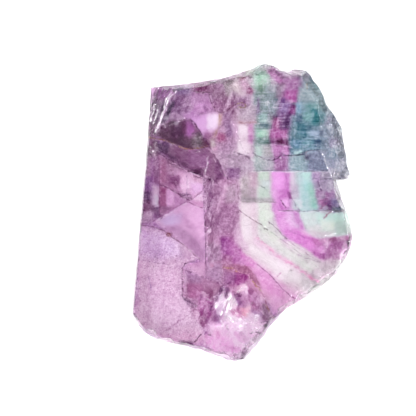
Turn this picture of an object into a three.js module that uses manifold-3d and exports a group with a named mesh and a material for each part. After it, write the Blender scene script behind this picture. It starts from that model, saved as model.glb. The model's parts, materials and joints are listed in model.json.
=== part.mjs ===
// A hand-sized slab of banded fluorite: one piece of crystal with a flat front and back,
// a straight cleaved side on the left, hackly broken edges elsewhere, and the ledges,
// hollows and chips that octahedral cleavage leaves. Millimetres, +Z up. The slab lies on
// its back: the origin is under its middle, on the plane that it rests on, +Z leaves the
// front face, and +Y runs along its long side.
import * as THREE from "three";
import { mergeVertices } from "three/addons/utils/BufferGeometryUtils.js";
import Module from "manifold-3d";

const wasm = await Module();
wasm.setup();

// ---------------------------------------------------------------- driving dimensions
const THICKNESS = 11; // back plane to front face
const POINT_SPACING = 1.9; // between points along a broken edge
const REACH = 60; // longer than any cut has to be
const CLEARANCE = 2; // how far a cutter stands above the face that it opens
const CLEAN_HACKLE = 0.1; // a wall less hackly than this has no chips
const PAST_CORNER = [34, 46]; // beyond the slab's upper right corner

// Silhouette, anticlockwise from the step on the right side, seen from the front. Each
// stretch has its corners, the width of the broken rim between silhouette and front face,
// and how hackly its wall is.
const STRETCHES = [
  {
    name: "upper right side",
    rim: 1.3,
    hackle: 0.3,
    corners: [
      [30.2, 9.3],
      [30.3, 10.6],
      [29.7, 14.2],
      [28.9, 17.6],
      [28.4, 21.2],
      [28.3, 23.4],
      [25.9, 27.8],
      [23.8, 30.6],
      [22.7, 33.2],
      [20.8, 36.2],
      [19.4, 38.7],
      [18.2, 40.0],
    ],
  },
  {
    name: "top",
    rim: 1.6,
    hackle: 0.35,
    corners: [
      [16.6, 40.5],
      [12.6, 39.8],
      [10.7, 40.3],
      [8.9, 41.5],
      [6.6, 42.0],
      [4.8, 41.8],
      [3.0, 40.6],
      [1.1, 40.1],
      [-2.2, 38.9],
      [-6.6, 37.7],
      [-11.9, 36.8],
      [-18.9, 36.1],
    ],
  },
  {
    name: "left cleavage",
    rim: 0.5,
    hackle: 0.07,
    corners: [
      [-25.7, 35.3],
      [-26.7, 20.4],
      [-28.4, 2.0],
      [-29.5, -10.6],
      [-31.1, -28.3],
    ],
  },
  {
    name: "bottom",
    rim: 0.9,
    hackle: 0.32,
    corners: [
      [-30.4, -30.3],
      [-28.0, -33.4],
      [-24.0, -35.8],
      [-17.5, -37.3],
      [-11.6, -38.6],
      [-7.4, -40.2],
    ],
  },
  {
    name: "nose",
    rim: 2.3,
    hackle: 0.3,
    corners: [
      [-4.2, -41.6],
      [-1.9, -42.0],
      [0.4, -41.4],
      [2.4, -39.3],
      [5.2, -35.9],
      [7.8, -32.6],
    ],
  },
  {
    name: "lower right",
    rim: 1.0,
    hackle: 0.36,
    corners: [
      [11.3, -28.2],
      [13.1, -26.6],
      [16.6, -24.6],
      [23.7, -19.9],
      [26.3, -17.5],
      [28.5, -14.4],
      [30.4, -10.4],
    ],
  },
  {
    name: "right side",
    rim: 1.7,
    hackle: 0.2,
    corners: [
      [31.1, -6.8],
      [30.7, -4.0],
      [29.7, -0.8],
      [28.1, 3.9],
      [26.3, 9.1],
    ],
  },
];

// How far the points of the wall stray, as multiples of the hackle: the silhouette sideways,
// a ring inwards, and a ring up and down by no more than a limit in millimetres.
const STRAY = { sideways: 1.3, inwards: 2, upDown: 4, mostUpDown: 1.5 };
const SEEDS = { silhouette: 11, rings: 29 };

// Height of each ring of the wall, as a share of the thickness, and how much of the rim
// has gone there. The back edge is broken too, but less.
const RINGS = [
  { height: 0, gone: 0.45 },
  { height: 0.09, gone: 0.1 },
  { height: 0.28, gone: 0 },
  { height: 0.5, gone: 0.04 },
  { height: 0.72, gone: 0.14 },
  { height: 0.9, gone: 0.5 },
  { height: 1, gone: 1 },
];

// The four octahedral cleavages of the crystal as it lies in the slab.
const CLEAVAGE = {
  shallow: new THREE.Vector3(0.245, 0.346, 0.906),
  downRight: new THREE.Vector3(0.398, -0.739, 0.543),
  steep: new THREE.Vector3(0.667, 0.739, 0.095),
  upLeft: new THREE.Vector3(-0.819, 0.346, 0.457),
};

// ---------------------------------------------------------------- helpers
// The same numbers on every run.
function seeded(seed) {
  let state = seed;
  return () => {
    state = (state * 1664525 + 1013904223) % 4294967296;
    return state / 4294967296;
  };
}

function solidOf(geometry) {
  const bare = geometry.clone();
  for (const name of Object.keys(bare.attributes))
    if (name !== "position") bare.deleteAttribute(name);
  const merged = mergeVertices(bare, 1e-4);
  return new wasm.Manifold(
    new wasm.Mesh({
      numProp: 3,
      vertProperties: merged.attributes.position.array,
      triVerts: new Uint32Array(merged.index.array),
    }),
  );
}

function geometryOf(solid) {
  const mesh = solid.getMesh();
  return new THREE.BufferGeometry()
    .setAttribute(
      "position",
      new THREE.BufferAttribute(new Float32Array(mesh.vertProperties), 3),
    )
    .setIndex(new THREE.BufferAttribute(new Uint32Array(mesh.triVerts), 1));
}

function prism(outline, low, high) {
  const shape = new THREE.Shape(outline.map(([x, y]) => new THREE.Vector2(x, y)));
  const body = new THREE.ExtrudeGeometry(shape, {
    depth: high - low,
    bevelEnabled: false,
  });
  body.translate(0, 0, low);
  return solidOf(body);
}

// What lies on the outer side of a plane, as far out as the depth, within half a length
// along the plane's level line and half a width up its slope.
function beyondPlane(point, normal, length = REACH, width = REACH, depth = REACH) {
  const out = normal.clone().normalize();
  const level = new THREE.Vector3(-out.y, out.x, 0);
  if (level.length() < 1e-6) level.set(1, 0, 0);
  level.normalize();
  const upslope = new THREE.Vector3().crossVectors(out, level);
  const block = new THREE.BoxGeometry(length, width, depth);
  block.translate(0, 0, depth / 2);
  block.applyMatrix4(new THREE.Matrix4().makeBasis(level, upslope, out));
  block.translate(point.x, point.y, point.z);
  return solidOf(block);
}

// ---------------------------------------------------------------- the broken block
// The silhouette as points about POINT_SPACING apart, each with its inward direction.
function silhouette() {
  const random = seeded(SEEDS.silhouette);
  const corners = STRETCHES.flatMap((stretch) =>
    stretch.corners.map(([x, y]) => ({ x, y, rim: stretch.rim, hackle: stretch.hackle })),
  );
  const points = [];
  corners.forEach((from, i) => {
    const to = corners[(i + 1) % corners.length];
    const span = Math.hypot(to.x - from.x, to.y - from.y);
    const steps = Math.max(1, Math.round(span / POINT_SPACING));
    for (let k = 0; k < steps; k++) {
      const t = k / steps;
      const wander = k === 0 ? 0 : (random() - 0.5) * from.hackle * STRAY.sideways;
      points.push({
        x: from.x + (to.x - from.x) * t - ((to.y - from.y) / span) * wander,
        y: from.y + (to.y - from.y) * t + ((to.x - from.x) / span) * wander,
        rim: from.rim + (to.rim - from.rim) * t,
        hackle: from.hackle,
      });
    }
  });
  points.forEach((point, i) => {
    const before = points[(i + points.length - 1) % points.length];
    const after = points[(i + 1) % points.length];
    const along = new THREE.Vector2(after.x - before.x, after.y - before.y).normalize();
    point.inward = new THREE.Vector2(-along.y, along.x);
  });
  return points;
}

// Rings of points joined by triangles, with a flat back and a flat front.
function brokenBlock() {
  const random = seeded(SEEDS.rings);
  const points = silhouette();
  const count = points.length;
  const positions = [];
  RINGS.forEach(({ height, gone }, level) => {
    const flat = level === 0 || level === RINGS.length - 1;
    for (const point of points) {
      const inwards = point.hackle * (flat ? 1 : STRAY.inwards);
      const inset = point.rim * gone + Math.max(0, (random() - 0.35) * inwards);
      const upDown = flat ? 0 : Math.min(point.hackle * STRAY.upDown, STRAY.mostUpDown);
      positions.push(
        point.x + point.inward.x * inset,
        point.y + point.inward.y * inset,
        height * THICKNESS + (random() - 0.5) * upDown,
      );
    }
  });
  const faces = [];
  for (let level = 0; level + 1 < RINGS.length; level++)
    for (let i = 0; i < count; i++) {
      const a = level * count + i;
      const b = level * count + ((i + 1) % count);
      const c = a + count;
      const d = b + count;
      if (random() < 0.5) faces.push([a, b, d], [a, d, c]);
      else faces.push([a, b, c], [b, d, c]);
    }
  const cap = (level, turned) => {
    const ring = points.map((_, i) => {
      const at = (level * count + i) * 3;
      return new THREE.Vector2(positions[at], positions[at + 1]);
    });
    for (const [a, b, c] of THREE.ShapeUtils.triangulateShape(ring, [])) {
      const face = [level * count + a, level * count + b, level * count + c];
      faces.push(turned ? face.reverse() : face);
    }
  };
  cap(0, true);
  cap(RINGS.length - 1, false);
  const block = new THREE.BufferGeometry()
    .setAttribute("position", new THREE.Float32BufferAttribute(positions, 3))
    .setIndex(faces.flat());
  return solidOf(block);
}

// ---------------------------------------------------------------- what cleavage took off
// A hollow with upright walls over a tilted floor: fall is how much the floor drops per
// millimetre towards the direction given, starting from no depth at the point given.
function wedgeHollow(outline, [x, y], direction, fall) {
  const way = new THREE.Vector2(...direction).normalize();
  const floor = new THREE.Vector3(way.x * fall, way.y * fall, 1);
  const above = beyondPlane(new THREE.Vector3(x, y, THICKNESS), floor, 2 * REACH, 2 * REACH);
  return prism(outline, THICKNESS / 2, THICKNESS + CLEARANCE).intersect(above);
}

// Ledges and hollows of the front face, each a flat facet that starts level with the front
// at one side and ends in a step at the other.
const FRONT_FACETS = [
  {
    name: "dark hollow",
    outline: [
      [-24.5, 20.7],
      [-21.7, 20.4],
      [-19.5, 19.9],
      [-17.5, 18.9],
      [-15.5, 17.9],
      [-12.7, 17.6],
      [-9.9, 18.6],
      [-11.1, 20.3],
      [-12.5, 22.8],
      [-13.9, 25.3],
      [-15.5, 26.3],
      [-18.1, 25.6],
      [-19.7, 24.8],
      [-21.7, 24.2],
      [-23.9, 22.8],
    ],
    start: [-18.1, 26.0],
    towards: [0.1, -1],
    fall: 0.2,
  },
  {
    name: "purple facet",
    outline: [
      [-24.2, 19.5],
      [-19.0, 19.2],
      [-15.5, 17.3],
      [-12.7, 17.0],
      [-9.4, 17.8],
      [-7.7, 14.7],
      [-5.7, 11.3],
      [-4.5, 9.4],
      [-8.0, 9.7],
      [-13.0, 10.5],
      [-16.1, 11.9],
      [-20.3, 14.4],
      [-23.7, 17.5],
    ],
    start: [-12.0, 17.5],
    towards: [-0.45, -0.9],
    fall: 0.075,
  },
  {
    name: "bright triangle",
    outline: [
      [-23.7, -2.4],
      [-22.3, -3.8],
      [-18.9, -6.3],
      [-15.8, -9.7],
      [-13.0, -12.7],
      [-10.4, -13.9],
      [-10.5, -4.9],
      [-11.1, 5.5],
      [-14.7, 3.2],
      [-22.3, -1.3],
    ],
    start: [-23.7, -2.4],
    towards: [1, 0.15],
    fall: 0.045,
  },
  {
    name: "pink shelf",
    outline: [
      [-20.3, 13.9],
      [-16.1, 11.4],
      [-13.0, 10.0],
      [-11.0, 9.6],
      [-11.1, 6.2],
      [-14.2, 4.2],
      [-16.6, 5.2],
      [-18.6, 8.4],
    ],
    start: [-20.3, 13.9],
    towards: [0.8, -0.5],
    fall: 0.05,
  },
  {
    name: "low facet",
    outline: [
      [-16.7, -15.5],
      [-16.7, -23.4],
      [-14.7, -24.2],
      [-11.1, -25.3],
      [-7.7, -23.7],
      [-4.9, -20.3],
      [-11.9, -17.5],
    ],
    start: [-4.9, -20.3],
    towards: [-1, 0.1],
    fall: 0.05,
  },
  {
    name: "lower ledge",
    outline: [
      [-5.9, -15.1],
      [-0.7, -16.7],
      [1.5, -17.3],
      [4.3, -21.1],
      [6.0, -23.7],
      [7.2, -26.4],
      [9.1, -30.0],
      [3.0, -31.0],
      [-3.4, -27.0],
      [-5.2, -21.0],
    ],
    start: [-5.4, -21.0],
    towards: [1, 0.3],
    fall: 0.07,
  },
  {
    name: "lower left ledge",
    outline: [
      [-34.0, -3.4],
      [-28.7, -3.5],
      [-25.3, -3.8],
      [-22.3, -4.9],
      [-20.9, -6.1],
      [-17.5, -8.5],
      [-14.7, -10.0],
      [-12.2, -12.6],
      [-13.5, -20.0],
      [-34.0, -24.0],
    ],
    start: [-24.0, -21.0],
    towards: [0.25, 1],
    fall: 0.03,
  },
  {
    name: "right facet",
    outline: [
      [-0.7, 11.6],
      [-0.7, 0.2],
      [3.0, -1.8],
      [13.3, -9.2],
      [24.0, -17.5],
      [33.0, -16.0],
      [33.0, 11.6],
    ],
    start: [-1.0, 2.0],
    towards: [1, 0.05],
    fall: 0.02,
  },
  {
    name: "far right facet",
    outline: [
      [12.1, 0.2],
      [27.0, -19.6],
      [36.0, -30.0],
      [36.0, 0.2],
    ],
    start: [16.0, -5.0],
    towards: [0.8, 0.6],
    fall: 0.055,
  },
];

// Terraces of the broken upper right corner: flat facets that fan out from near the top of
// the face, each ending in a step along its foot. A facet starts level with the front and
// falls away towards the corner, more steeply than the one below it.
const TERRACE_FALL = 0.045;
const TERRACE_WAY = [1, 0.25];
const TERRACE_SPREAD = 12; // how far a facet reaches back over the front as it rises
const TERRACES = [
  {
    start: [-0.5, 16.0],
    foot: [
      [0.5, 17.2],
      [2.6, 16.3],
      [5.5, 15.0],
      [8.2, 14.8],
      [11.0, 15.8],
      [13.6, 16.1],
      [16.4, 16.5],
      [19.0, 17.4],
      [22.2, 17.6],
      [34.0, 17.0],
    ],
  },
  {
    start: [5.0, 19.0],
    foot: [
      [4.4, 20.6],
      [6.9, 19.6],
      [9.5, 19.0],
      [13.6, 18.2],
      [17.5, 18.5],
      [22.1, 19.4],
      [34.0, 18.4],
    ],
  },
  {
    start: [9.0, 22.0],
    foot: [
      [8.0, 25.0],
      [12.5, 22.3],
      [17.0, 21.0],
      [22.2, 21.8],
      [34.0, 20.6],
    ],
  },
  {
    start: [11.5, 26.5],
    foot: [
      [10.4, 29.6],
      [13.0, 27.4],
      [18.5, 26.2],
      [22.0, 26.9],
      [34.0, 25.0],
    ],
  },
  {
    start: [13.5, 31.0],
    foot: [
      [12.4, 33.9],
      [14.0, 32.0],
      [18.5, 31.0],
      [34.0, 30.0],
    ],
  },
];

function terrace({ start, foot }, index) {
  const [first] = foot;
  const back = [first[0] - TERRACE_SPREAD, PAST_CORNER[1]];
  const outline = [...foot, PAST_CORNER, back];
  return wedgeHollow(outline, start, TERRACE_WAY, TERRACE_FALL * (index + 1));
}

// Broad bevels: the corners that bound the bevel, a point on its upper edge and how deep
// that point is below the front, the way that the bevel faces and its slope in degrees.
const BEVELS = [
  {
    name: "top break",
    outline: [
      [-4.6, 34.6],
      [17.6, 35.2],
      [24.0, 46.0],
      [-9.0, 46.0],
    ],
    edge: [6.0, 34.9],
    drop: 0,
    faces: [-0.03, 1],
    slope: 24,
  },
  {
    name: "top corner",
    outline: [
      [10.6, 46.0],
      [14.2, 33.0],
      [22.0, 26.5],
      [40.0, 34.0],
      [30.0, 46.0],
    ],
    edge: [17.2, 34.0],
    drop: 1.3,
    faces: [0.72, 0.69],
    slope: 33,
  },
  {
    name: "right shoulder",
    outline: [
      [19.4, 30.6],
      [21.2, 22.4],
      [21.9, 17.5],
      [36.0, 15.2],
      [36.0, 37.0],
    ],
    edge: [21.9, 18.0],
    drop: 0.9,
    faces: [0.98, 0.16],
    slope: 35,
  },
  {
    name: "right break",
    outline: [
      [21.9, 17.7],
      [29.8, -4.6],
      [38.0, -3.6],
      [38.0, 24.0],
      [26.0, 19.4],
    ],
    edge: [23.6, 13.1],
    drop: 0,
    faces: [0.941, 0.338],
    slope: 43,
  },
  {
    name: "top left break",
    outline: [
      [-40.0, 22.0],
      [-3.6, 34.0],
      [-8.0, 46.0],
      [-40.0, 46.0],
    ],
    edge: [-12.3, 35.9],
    drop: 0,
    faces: [-0.176, 0.984],
    slope: 46,
  },
  {
    name: "bottom break",
    outline: [
      [-40.0, -20.0],
      [-40.0, -48.0],
      [-9.0, -48.0],
      [-6.4, -38.0],
    ],
    edge: [-16.0, -36.9],
    drop: 0,
    faces: [-0.2, -0.98],
    slope: 50,
  },
  {
    name: "nose break",
    outline: [
      [-8.0, -48.0],
      [-4.0, -38.0],
      [1.0, -37.6],
      [6.6, -32.2],
      [16.0, -38.0],
      [10.0, -48.0],
    ],
    edge: [2.4, -37.4],
    drop: 0,
    faces: [0.72, -0.69],
    slope: 44,
  },
];

function bevel({ outline, edge: [x, y], drop, faces, slope }) {
  const angle = THREE.MathUtils.degToRad(slope);
  const way = new THREE.Vector2(...faces).normalize().multiplyScalar(Math.sin(angle));
  const normal = new THREE.Vector3(way.x, way.y, Math.cos(angle));
  const point = new THREE.Vector3(x, y, THICKNESS - drop);
  const within = prism(outline, -CLEARANCE, THICKNESS + CLEARANCE);
  return within.intersect(beyondPlane(point, normal, 2 * REACH, 2 * REACH));
}

// Stairs in the upper left corner: risers on one cleavage, treads on the front's plane.
const STAIR_RISE = 0.7;
const STAIR_FEET = [-19.7, -21.3, -22.7, -23.9];
const STAIR_Y = 33.0;
const STAIR_ROOM = [
  [-40, 20.9],
  [0, 20.9],
  [0, 46],
  [-40, 46],
];

function stair(footX, index) {
  const point = new THREE.Vector3(footX, STAIR_Y, THICKNESS - index * STAIR_RISE);
  const tread = THICKNESS - (index + 1) * STAIR_RISE;
  const room = prism(STAIR_ROOM, tread, THICKNESS + CLEARANCE);
  return beyondPlane(point, CLEAVAGE.upLeft).intersect(room);
}

// Chips all round. Each is a notch between two flat breaks that meet in a line, so it dies
// out along the edge both ways. Where a cleavage slopes the right way one of the two
// follows it, and elsewhere the break is irregular.
const CHIPS = [
  { name: "front edge", height: 1, seed: 53, spacing: 2.5, share: 1, bite: 0.5, slopes: [34, 64] },
  { name: "back edge", height: 0, seed: 71, spacing: 3.6, share: 0.55, bite: 0.8, slopes: [34, 64] },
  { name: "wall", height: 0.4, seed: 97, spacing: 3.2, share: 0, bite: 0.32, slopes: [66, 108] },
];
const CLEAVED_SHARE = 0.6; // of the chips that could follow a cleavage
const TURN = [0.12, 0.6]; // how far a break turns from the edge's own direction, in radians
const CHIP_REACH = 14;
const CHIP_DEPTH = 5;
const HOLLOW_TURN = -0.1; // an edge that turns inwards more than this stays as it broke
const TURN_SPAN = 3; // points each way that the turn is measured over

function flatBreak(outward, turn, slope) {
  const facing = outward.clone().rotateAround(new THREE.Vector2(), turn);
  return new THREE.Vector3(
    facing.x * Math.sin(slope),
    facing.y * Math.sin(slope),
    Math.cos(slope),
  );
}

function cleavageFor(outward, [low, high]) {
  return Object.values(CLEAVAGE).find((normal) => {
    const slope = THREE.MathUtils.radToDeg(Math.acos(normal.z));
    const level = Math.hypot(normal.x, normal.y);
    const faces = (normal.x * outward.x + normal.y * outward.y) / level;
    return faces > 0.86 && slope > low && slope < high;
  });
}

// How sharply the edge turns at a point: above zero where the edge bulges.
function turnAt(points, i) {
  const [before, here, after] = [-TURN_SPAN, 0, TURN_SPAN].map(
    (offset) => points[(i + offset + points.length) % points.length],
  );
  const arriving = new THREE.Vector2(here.x - before.x, here.y - before.y).normalize();
  const leaving = new THREE.Vector2(after.x - here.x, after.y - here.y).normalize();
  return arriving.cross(leaving);
}

function chips({ height, seed, spacing, share, bite, slopes }) {
  const random = seeded(seed);
  const between = ([low, high]) => low + (high - low) * random();
  const points = silhouette();
  const made = [];
  let travelled = 0;
  points.forEach((point, i) => {
    const next = points[(i + 1) % points.length];
    travelled += Math.hypot(next.x - point.x, next.y - point.y);
    if (travelled < between([0.6 * spacing, 1.4 * spacing])) return;
    travelled = 0;
    if (point.hackle < CLEAN_HACKLE || turnAt(points, i) < HOLLOW_TURN) return;
    const outward = point.inward.clone().negate();
    const depth = point.rim * share + bite * random();
    const level = height % 1 === 0 ? height : height * between([0.6, 1.6]);
    const at = new THREE.Vector3(
      point.x - outward.x * depth,
      point.y - outward.y * depth,
      THICKNESS * level,
    );
    const slope = THREE.MathUtils.degToRad(between(slopes));
    const cleaved = random() < CLEAVED_SHARE ? cleavageFor(outward, slopes) : undefined;
    const breaks = [
      cleaved ? cleaved.clone() : flatBreak(outward, between(TURN), slope),
      flatBreak(outward, -between(TURN), slope),
    ].map((normal) => {
      if (height === 0) normal.z *= -1;
      return beyondPlane(at, normal, CHIP_REACH, CHIP_REACH, CHIP_DEPTH);
    });
    made.push(breaks[0].intersect(breaks[1]));
  });
  return made;
}

// Two shallow steps on the back, near its edges.
const BACK_STEPS = [
  {
    outline: [
      [9.0, -45],
      [12.0, -18.0],
      [22.0, -9.0],
      [36.0, -6.0],
      [36.0, -45],
    ],
    depth: 0.7,
  },
  {
    outline: [
      [-36.0, 18.0],
      [-20.0, 24.0],
      [-14.0, 30.0],
      [-6.0, 32.0],
      [0.0, 46.0],
      [-36.0, 46.0],
    ],
    depth: 0.9,
  },
];

// A groove along the upright crack that parts the left third from the rest.
const CRACK = [
  [-10.9, 12.8],
  [-10.1, -14.0],
];
const CRACK_HALF_WIDTH = 0.55;
const CRACK_DEPTH = 0.5;

function crackGroove() {
  const [[x0, y0], [x1, y1]] = CRACK;
  const turn = Math.atan2(y1 - y0, x1 - x0);
  const length = Math.hypot(x1 - x0, y1 - y0);
  const profile = new THREE.Shape([
    new THREE.Vector2(-CRACK_HALF_WIDTH, 0),
    new THREE.Vector2(0, -CRACK_DEPTH),
    new THREE.Vector2(CRACK_HALF_WIDTH, 0),
    new THREE.Vector2(CRACK_HALF_WIDTH, CLEARANCE),
    new THREE.Vector2(-CRACK_HALF_WIDTH, CLEARANCE),
  ]);
  const groove = new THREE.ExtrudeGeometry(profile, { depth: length, bevelEnabled: false });
  groove.rotateX(Math.PI / 2);
  groove.rotateZ(turn + Math.PI / 2);
  groove.translate(x0, y0, THICKNESS);
  return solidOf(groove);
}

// ---------------------------------------------------------------- the stone
function stone() {
  const cuts = [
    ...FRONT_FACETS.map(({ outline, start, towards, fall }) =>
      wedgeHollow(outline, start, towards, fall),
    ),
    ...TERRACES.map(terrace),
    ...STAIR_FEET.map(stair),
    ...BEVELS.map(bevel),
    ...CHIPS.flatMap(chips),
    ...BACK_STEPS.map(({ outline, depth }) => prism(outline, -CLEARANCE, depth)),
    crackGroove(),
  ];
  return cuts.reduce((left, cut) => left.subtract(cut), brokenBlock());
}

const geometry = geometryOf(stone());
geometry.computeBoundingBox();
const middle = geometry.boundingBox.getCenter(new THREE.Vector3());
geometry.translate(-middle.x, -middle.y, 0);
geometry.computeVertexNormals();

const fluorite = new THREE.MeshStandardMaterial({
  name: "fluorite",
  color: 0xc79bd0,
  roughness: 0.25,
  metalness: 0,
});
const slab = new THREE.Mesh(geometry, fluorite);
slab.name = "fluorite_slab";
const part = new THREE.Group();
part.add(slab);
export default part;
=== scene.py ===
# %% [markdown]
# # A hand-sized slab of banded fluorite
# Fluorite is a clear crystal. This slab was broken from a larger one: its front and back are
# flat, its left side is one clean cleavage, and its other sides are hackly breaks. The colour
# sits inside the stone, in layers that were laid down one after another as the crystal grew.
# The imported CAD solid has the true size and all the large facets. Here a refined copy of it
# gets the small relief of broken crystal and a see-through material with the growth colours.

import json
import math
import random

import bmesh
import bpy
import numpy as np
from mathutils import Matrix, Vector, kdtree, noise

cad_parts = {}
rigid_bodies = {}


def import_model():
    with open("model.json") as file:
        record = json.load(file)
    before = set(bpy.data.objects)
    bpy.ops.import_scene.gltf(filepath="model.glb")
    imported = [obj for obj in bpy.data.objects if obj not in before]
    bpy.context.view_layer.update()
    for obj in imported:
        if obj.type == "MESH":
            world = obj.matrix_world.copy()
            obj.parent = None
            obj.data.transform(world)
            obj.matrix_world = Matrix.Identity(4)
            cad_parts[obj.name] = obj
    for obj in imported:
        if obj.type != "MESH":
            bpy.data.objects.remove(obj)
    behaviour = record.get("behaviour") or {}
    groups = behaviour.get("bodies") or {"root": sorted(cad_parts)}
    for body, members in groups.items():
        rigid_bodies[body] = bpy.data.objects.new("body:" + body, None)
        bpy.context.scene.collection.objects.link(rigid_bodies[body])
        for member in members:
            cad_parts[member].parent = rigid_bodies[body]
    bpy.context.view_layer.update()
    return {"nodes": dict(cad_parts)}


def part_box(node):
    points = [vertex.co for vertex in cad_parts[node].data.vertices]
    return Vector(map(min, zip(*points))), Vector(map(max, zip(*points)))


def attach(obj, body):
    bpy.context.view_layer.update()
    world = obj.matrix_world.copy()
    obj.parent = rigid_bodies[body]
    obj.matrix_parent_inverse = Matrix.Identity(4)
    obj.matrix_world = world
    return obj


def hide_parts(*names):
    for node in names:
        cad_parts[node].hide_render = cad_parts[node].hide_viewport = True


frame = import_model()
MM = 0.001
cad_slab = frame["nodes"]["fluorite_slab"]
low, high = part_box("fluorite_slab")
print("slab, mm:", [round(side / MM, 1) for side in high - low])

# %% [markdown]
# ## The camera
# The slab lies on its back, so the camera looks straight down on it. A long lens, well over two
# metres away, keeps the perspective weak, so the walls hardly show. The focal length follows
# from how wide the view is on the plane of the front face. That width is counted in squares of
# 0.28 mm, the same squares as in the drawing of the marks further down.

# %% The camera
SQUARE = 0.28
VIEW_SQUARES = 416
VIEW_CENTRE = (-9.66 * MM, 1.26 * MM)
VIEW_WIDTH = VIEW_SQUARES * SQUARE * MM
CAMERA_HEIGHT = 2400 * MM
SENSOR = 36.0
NEAREST = 0.01
FARTHEST = 20

lens_data = bpy.data.cameras.new("lens")
lens_data.sensor_width = SENSOR
lens_data.lens = SENSOR * CAMERA_HEIGHT / VIEW_WIDTH
lens_data.clip_start = NEAREST
lens_data.clip_end = FARTHEST
camera = bpy.data.objects.new("camera", lens_data)
camera.location = (VIEW_CENTRE[0], VIEW_CENTRE[1], high.z + CAMERA_HEIGHT)
bpy.context.scene.collection.objects.link(camera)
bpy.context.scene.camera = camera
bpy.context.scene.view_settings.view_transform = "Standard"
print("lens, mm:", round(lens_data.lens, 1))

# %% [markdown]
# ## Node helpers
# A material is a graph of nodes. `Wire` stands for one output socket, and adding or
# multiplying wires adds the Math node that does it, so a formula reads as a formula.
# `Graph.node` makes any other node: its settings first, then its sockets' values or links.


# %% Wires and graphs
class Wire:
    """One output socket, with arithmetic."""

    def __init__(self, graph, socket):
        self.graph = graph
        self.socket = socket

    def math(self, operation, other):
        return self.graph.node("ShaderNodeMath", {"operation": operation}, {0: self, 1: other})

    def __add__(self, other):
        return self.math("ADD", other)

    def __mul__(self, other):
        return self.math("MULTIPLY", other)

    def __sub__(self, other):
        return self.math("SUBTRACT", other)

    def __rsub__(self, other):
        return self * -1 + other

    __radd__ = __add__
    __rmul__ = __mul__

    def ramp(self, start, end):
        """0 below start, 1 above end, and smooth between them."""
        settings = {"interpolation_type": "SMOOTHSTEP"}
        values = {"Value": self, "From Min": start, "From Max": end}
        return self.graph.node("ShaderNodeMapRange", settings, values)


class Graph:
    """The node tree of a material or of the world."""

    def __init__(self, owner):
        owner.use_nodes = True
        self.tree = owner.node_tree
        self.tree.nodes.clear()

    def node(self, kind, settings=None, values=None, output=0):
        made = self.tree.nodes.new(kind)
        for name, value in (settings or {}).items():
            setattr(made, name, value)
        for name, value in (values or {}).items():
            if isinstance(value, Wire):
                self.tree.links.new(value.socket, made.inputs[name])
            else:
                made.inputs[name].default_value = value
        if not len(made.outputs):
            return made
        return Wire(self, made.outputs[output])

    def mix(self, share, first, second, how="MIX"):
        """Colours, first where share is 0 and second where it is 1."""
        settings = {"data_type": "RGBA", "blend_type": how}
        values = {0: share, 6: first, 7: second}
        return self.node("ShaderNodeMix", settings, values, output=2)

    def noise(self, where, size, detail=3.0, roughness=0.55, stretch=(1, 1, 1), output=0):
        """Noise whose patches are about size metres across."""
        scale = [side / size for side in stretch]
        mapped = self.node("ShaderNodeMapping", None, {"Vector": where, "Scale": scale})
        values = {"Vector": mapped, "Scale": 1.0, "Detail": detail, "Roughness": roughness}
        return self.node("ShaderNodeTexNoise", None, values, output)


# %% [markdown]
# ## The studio
# A clear stone shows what stands around it. The walls of this studio are pale, a ring of soft
# lamps hangs above them, and the ceiling inside the ring is dark, so the flat front face doesn't
# mirror a bright patch at the camera. The ring hangs high for the same reason: seen from the
# side, the front mirrors the walls and not the lamps. Three small softboxes glint on the broken
# edges. The light falls on a pale floor round and through the slab, and comes back up through it.

# %% The light
WALL_LIGHT = 0.9
LAMP_RING_LIGHT = 5.1
CEILING_LIGHT = 0.2
RING_FOOT = (32, 40)
RING_TOP = (52, 64)
SOFTBOX_DISTANCE = 0.6

world = bpy.data.worlds.new("studio")
bpy.context.scene.world = world
sky = Graph(world)
direction = sky.node("ShaderNodeTexCoord", output=0)
height = sky.node("ShaderNodeSeparateXYZ", None, {0: direction}, output=2)


def above(angles):
    """0 below the first angle above the horizon, and 1 above the second."""
    return height.ramp(*(math.sin(math.radians(angle)) for angle in angles))


def grey(light):
    """A grey colour, as strong as light."""
    return (light, light, light, 1)


shade = sky.mix(above(RING_FOOT), grey(WALL_LIGHT), grey(LAMP_RING_LIGHT))
shade = sky.mix(above(RING_TOP), shade, grey(CEILING_LIGHT))
backdrop = sky.node("ShaderNodeBackground", None, {"Color": shade, "Strength": 1.0})
sky.node("ShaderNodeOutputWorld", None, {"Surface": backdrop})


def softbox(name, azimuth, elevation, size, watts):
    """A square lamp that faces the slab."""
    data = bpy.data.lights.new(name, "AREA")
    data.size = size
    data.energy = watts
    lamp = bpy.data.objects.new(name, data)
    turn = math.radians(azimuth)
    rise = math.radians(elevation)
    flat = SOFTBOX_DISTANCE * math.cos(rise)
    place = Vector((flat * math.cos(turn), flat * math.sin(turn), SOFTBOX_DISTANCE * math.sin(rise)))
    lamp.location = place
    lamp.rotation_euler = place.to_track_quat("Z", "Y").to_euler()
    bpy.context.scene.collection.objects.link(lamp)


softbox("left_softbox", azimuth=160, elevation=50, size=0.10, watts=1.3)
softbox("right_softbox", azimuth=20, elevation=38, size=0.07, watts=0.9)
softbox("near_softbox", azimuth=-75, elevation=42, size=0.08, watts=0.9)

# %% The floor
FLOOR_GAP = 0.2 * MM
FLOOR_SIZE = 6
PALE = 0.9
MATT = 0.9


def deselect_all():
    """Leaves nothing selected."""
    for thing in bpy.context.view_layer.objects:
        thing.select_set(False)


def make_active(thing):
    """Selects one object alone, as operators need it."""
    deselect_all()
    thing.select_set(True)
    bpy.context.view_layer.objects.active = thing


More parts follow.
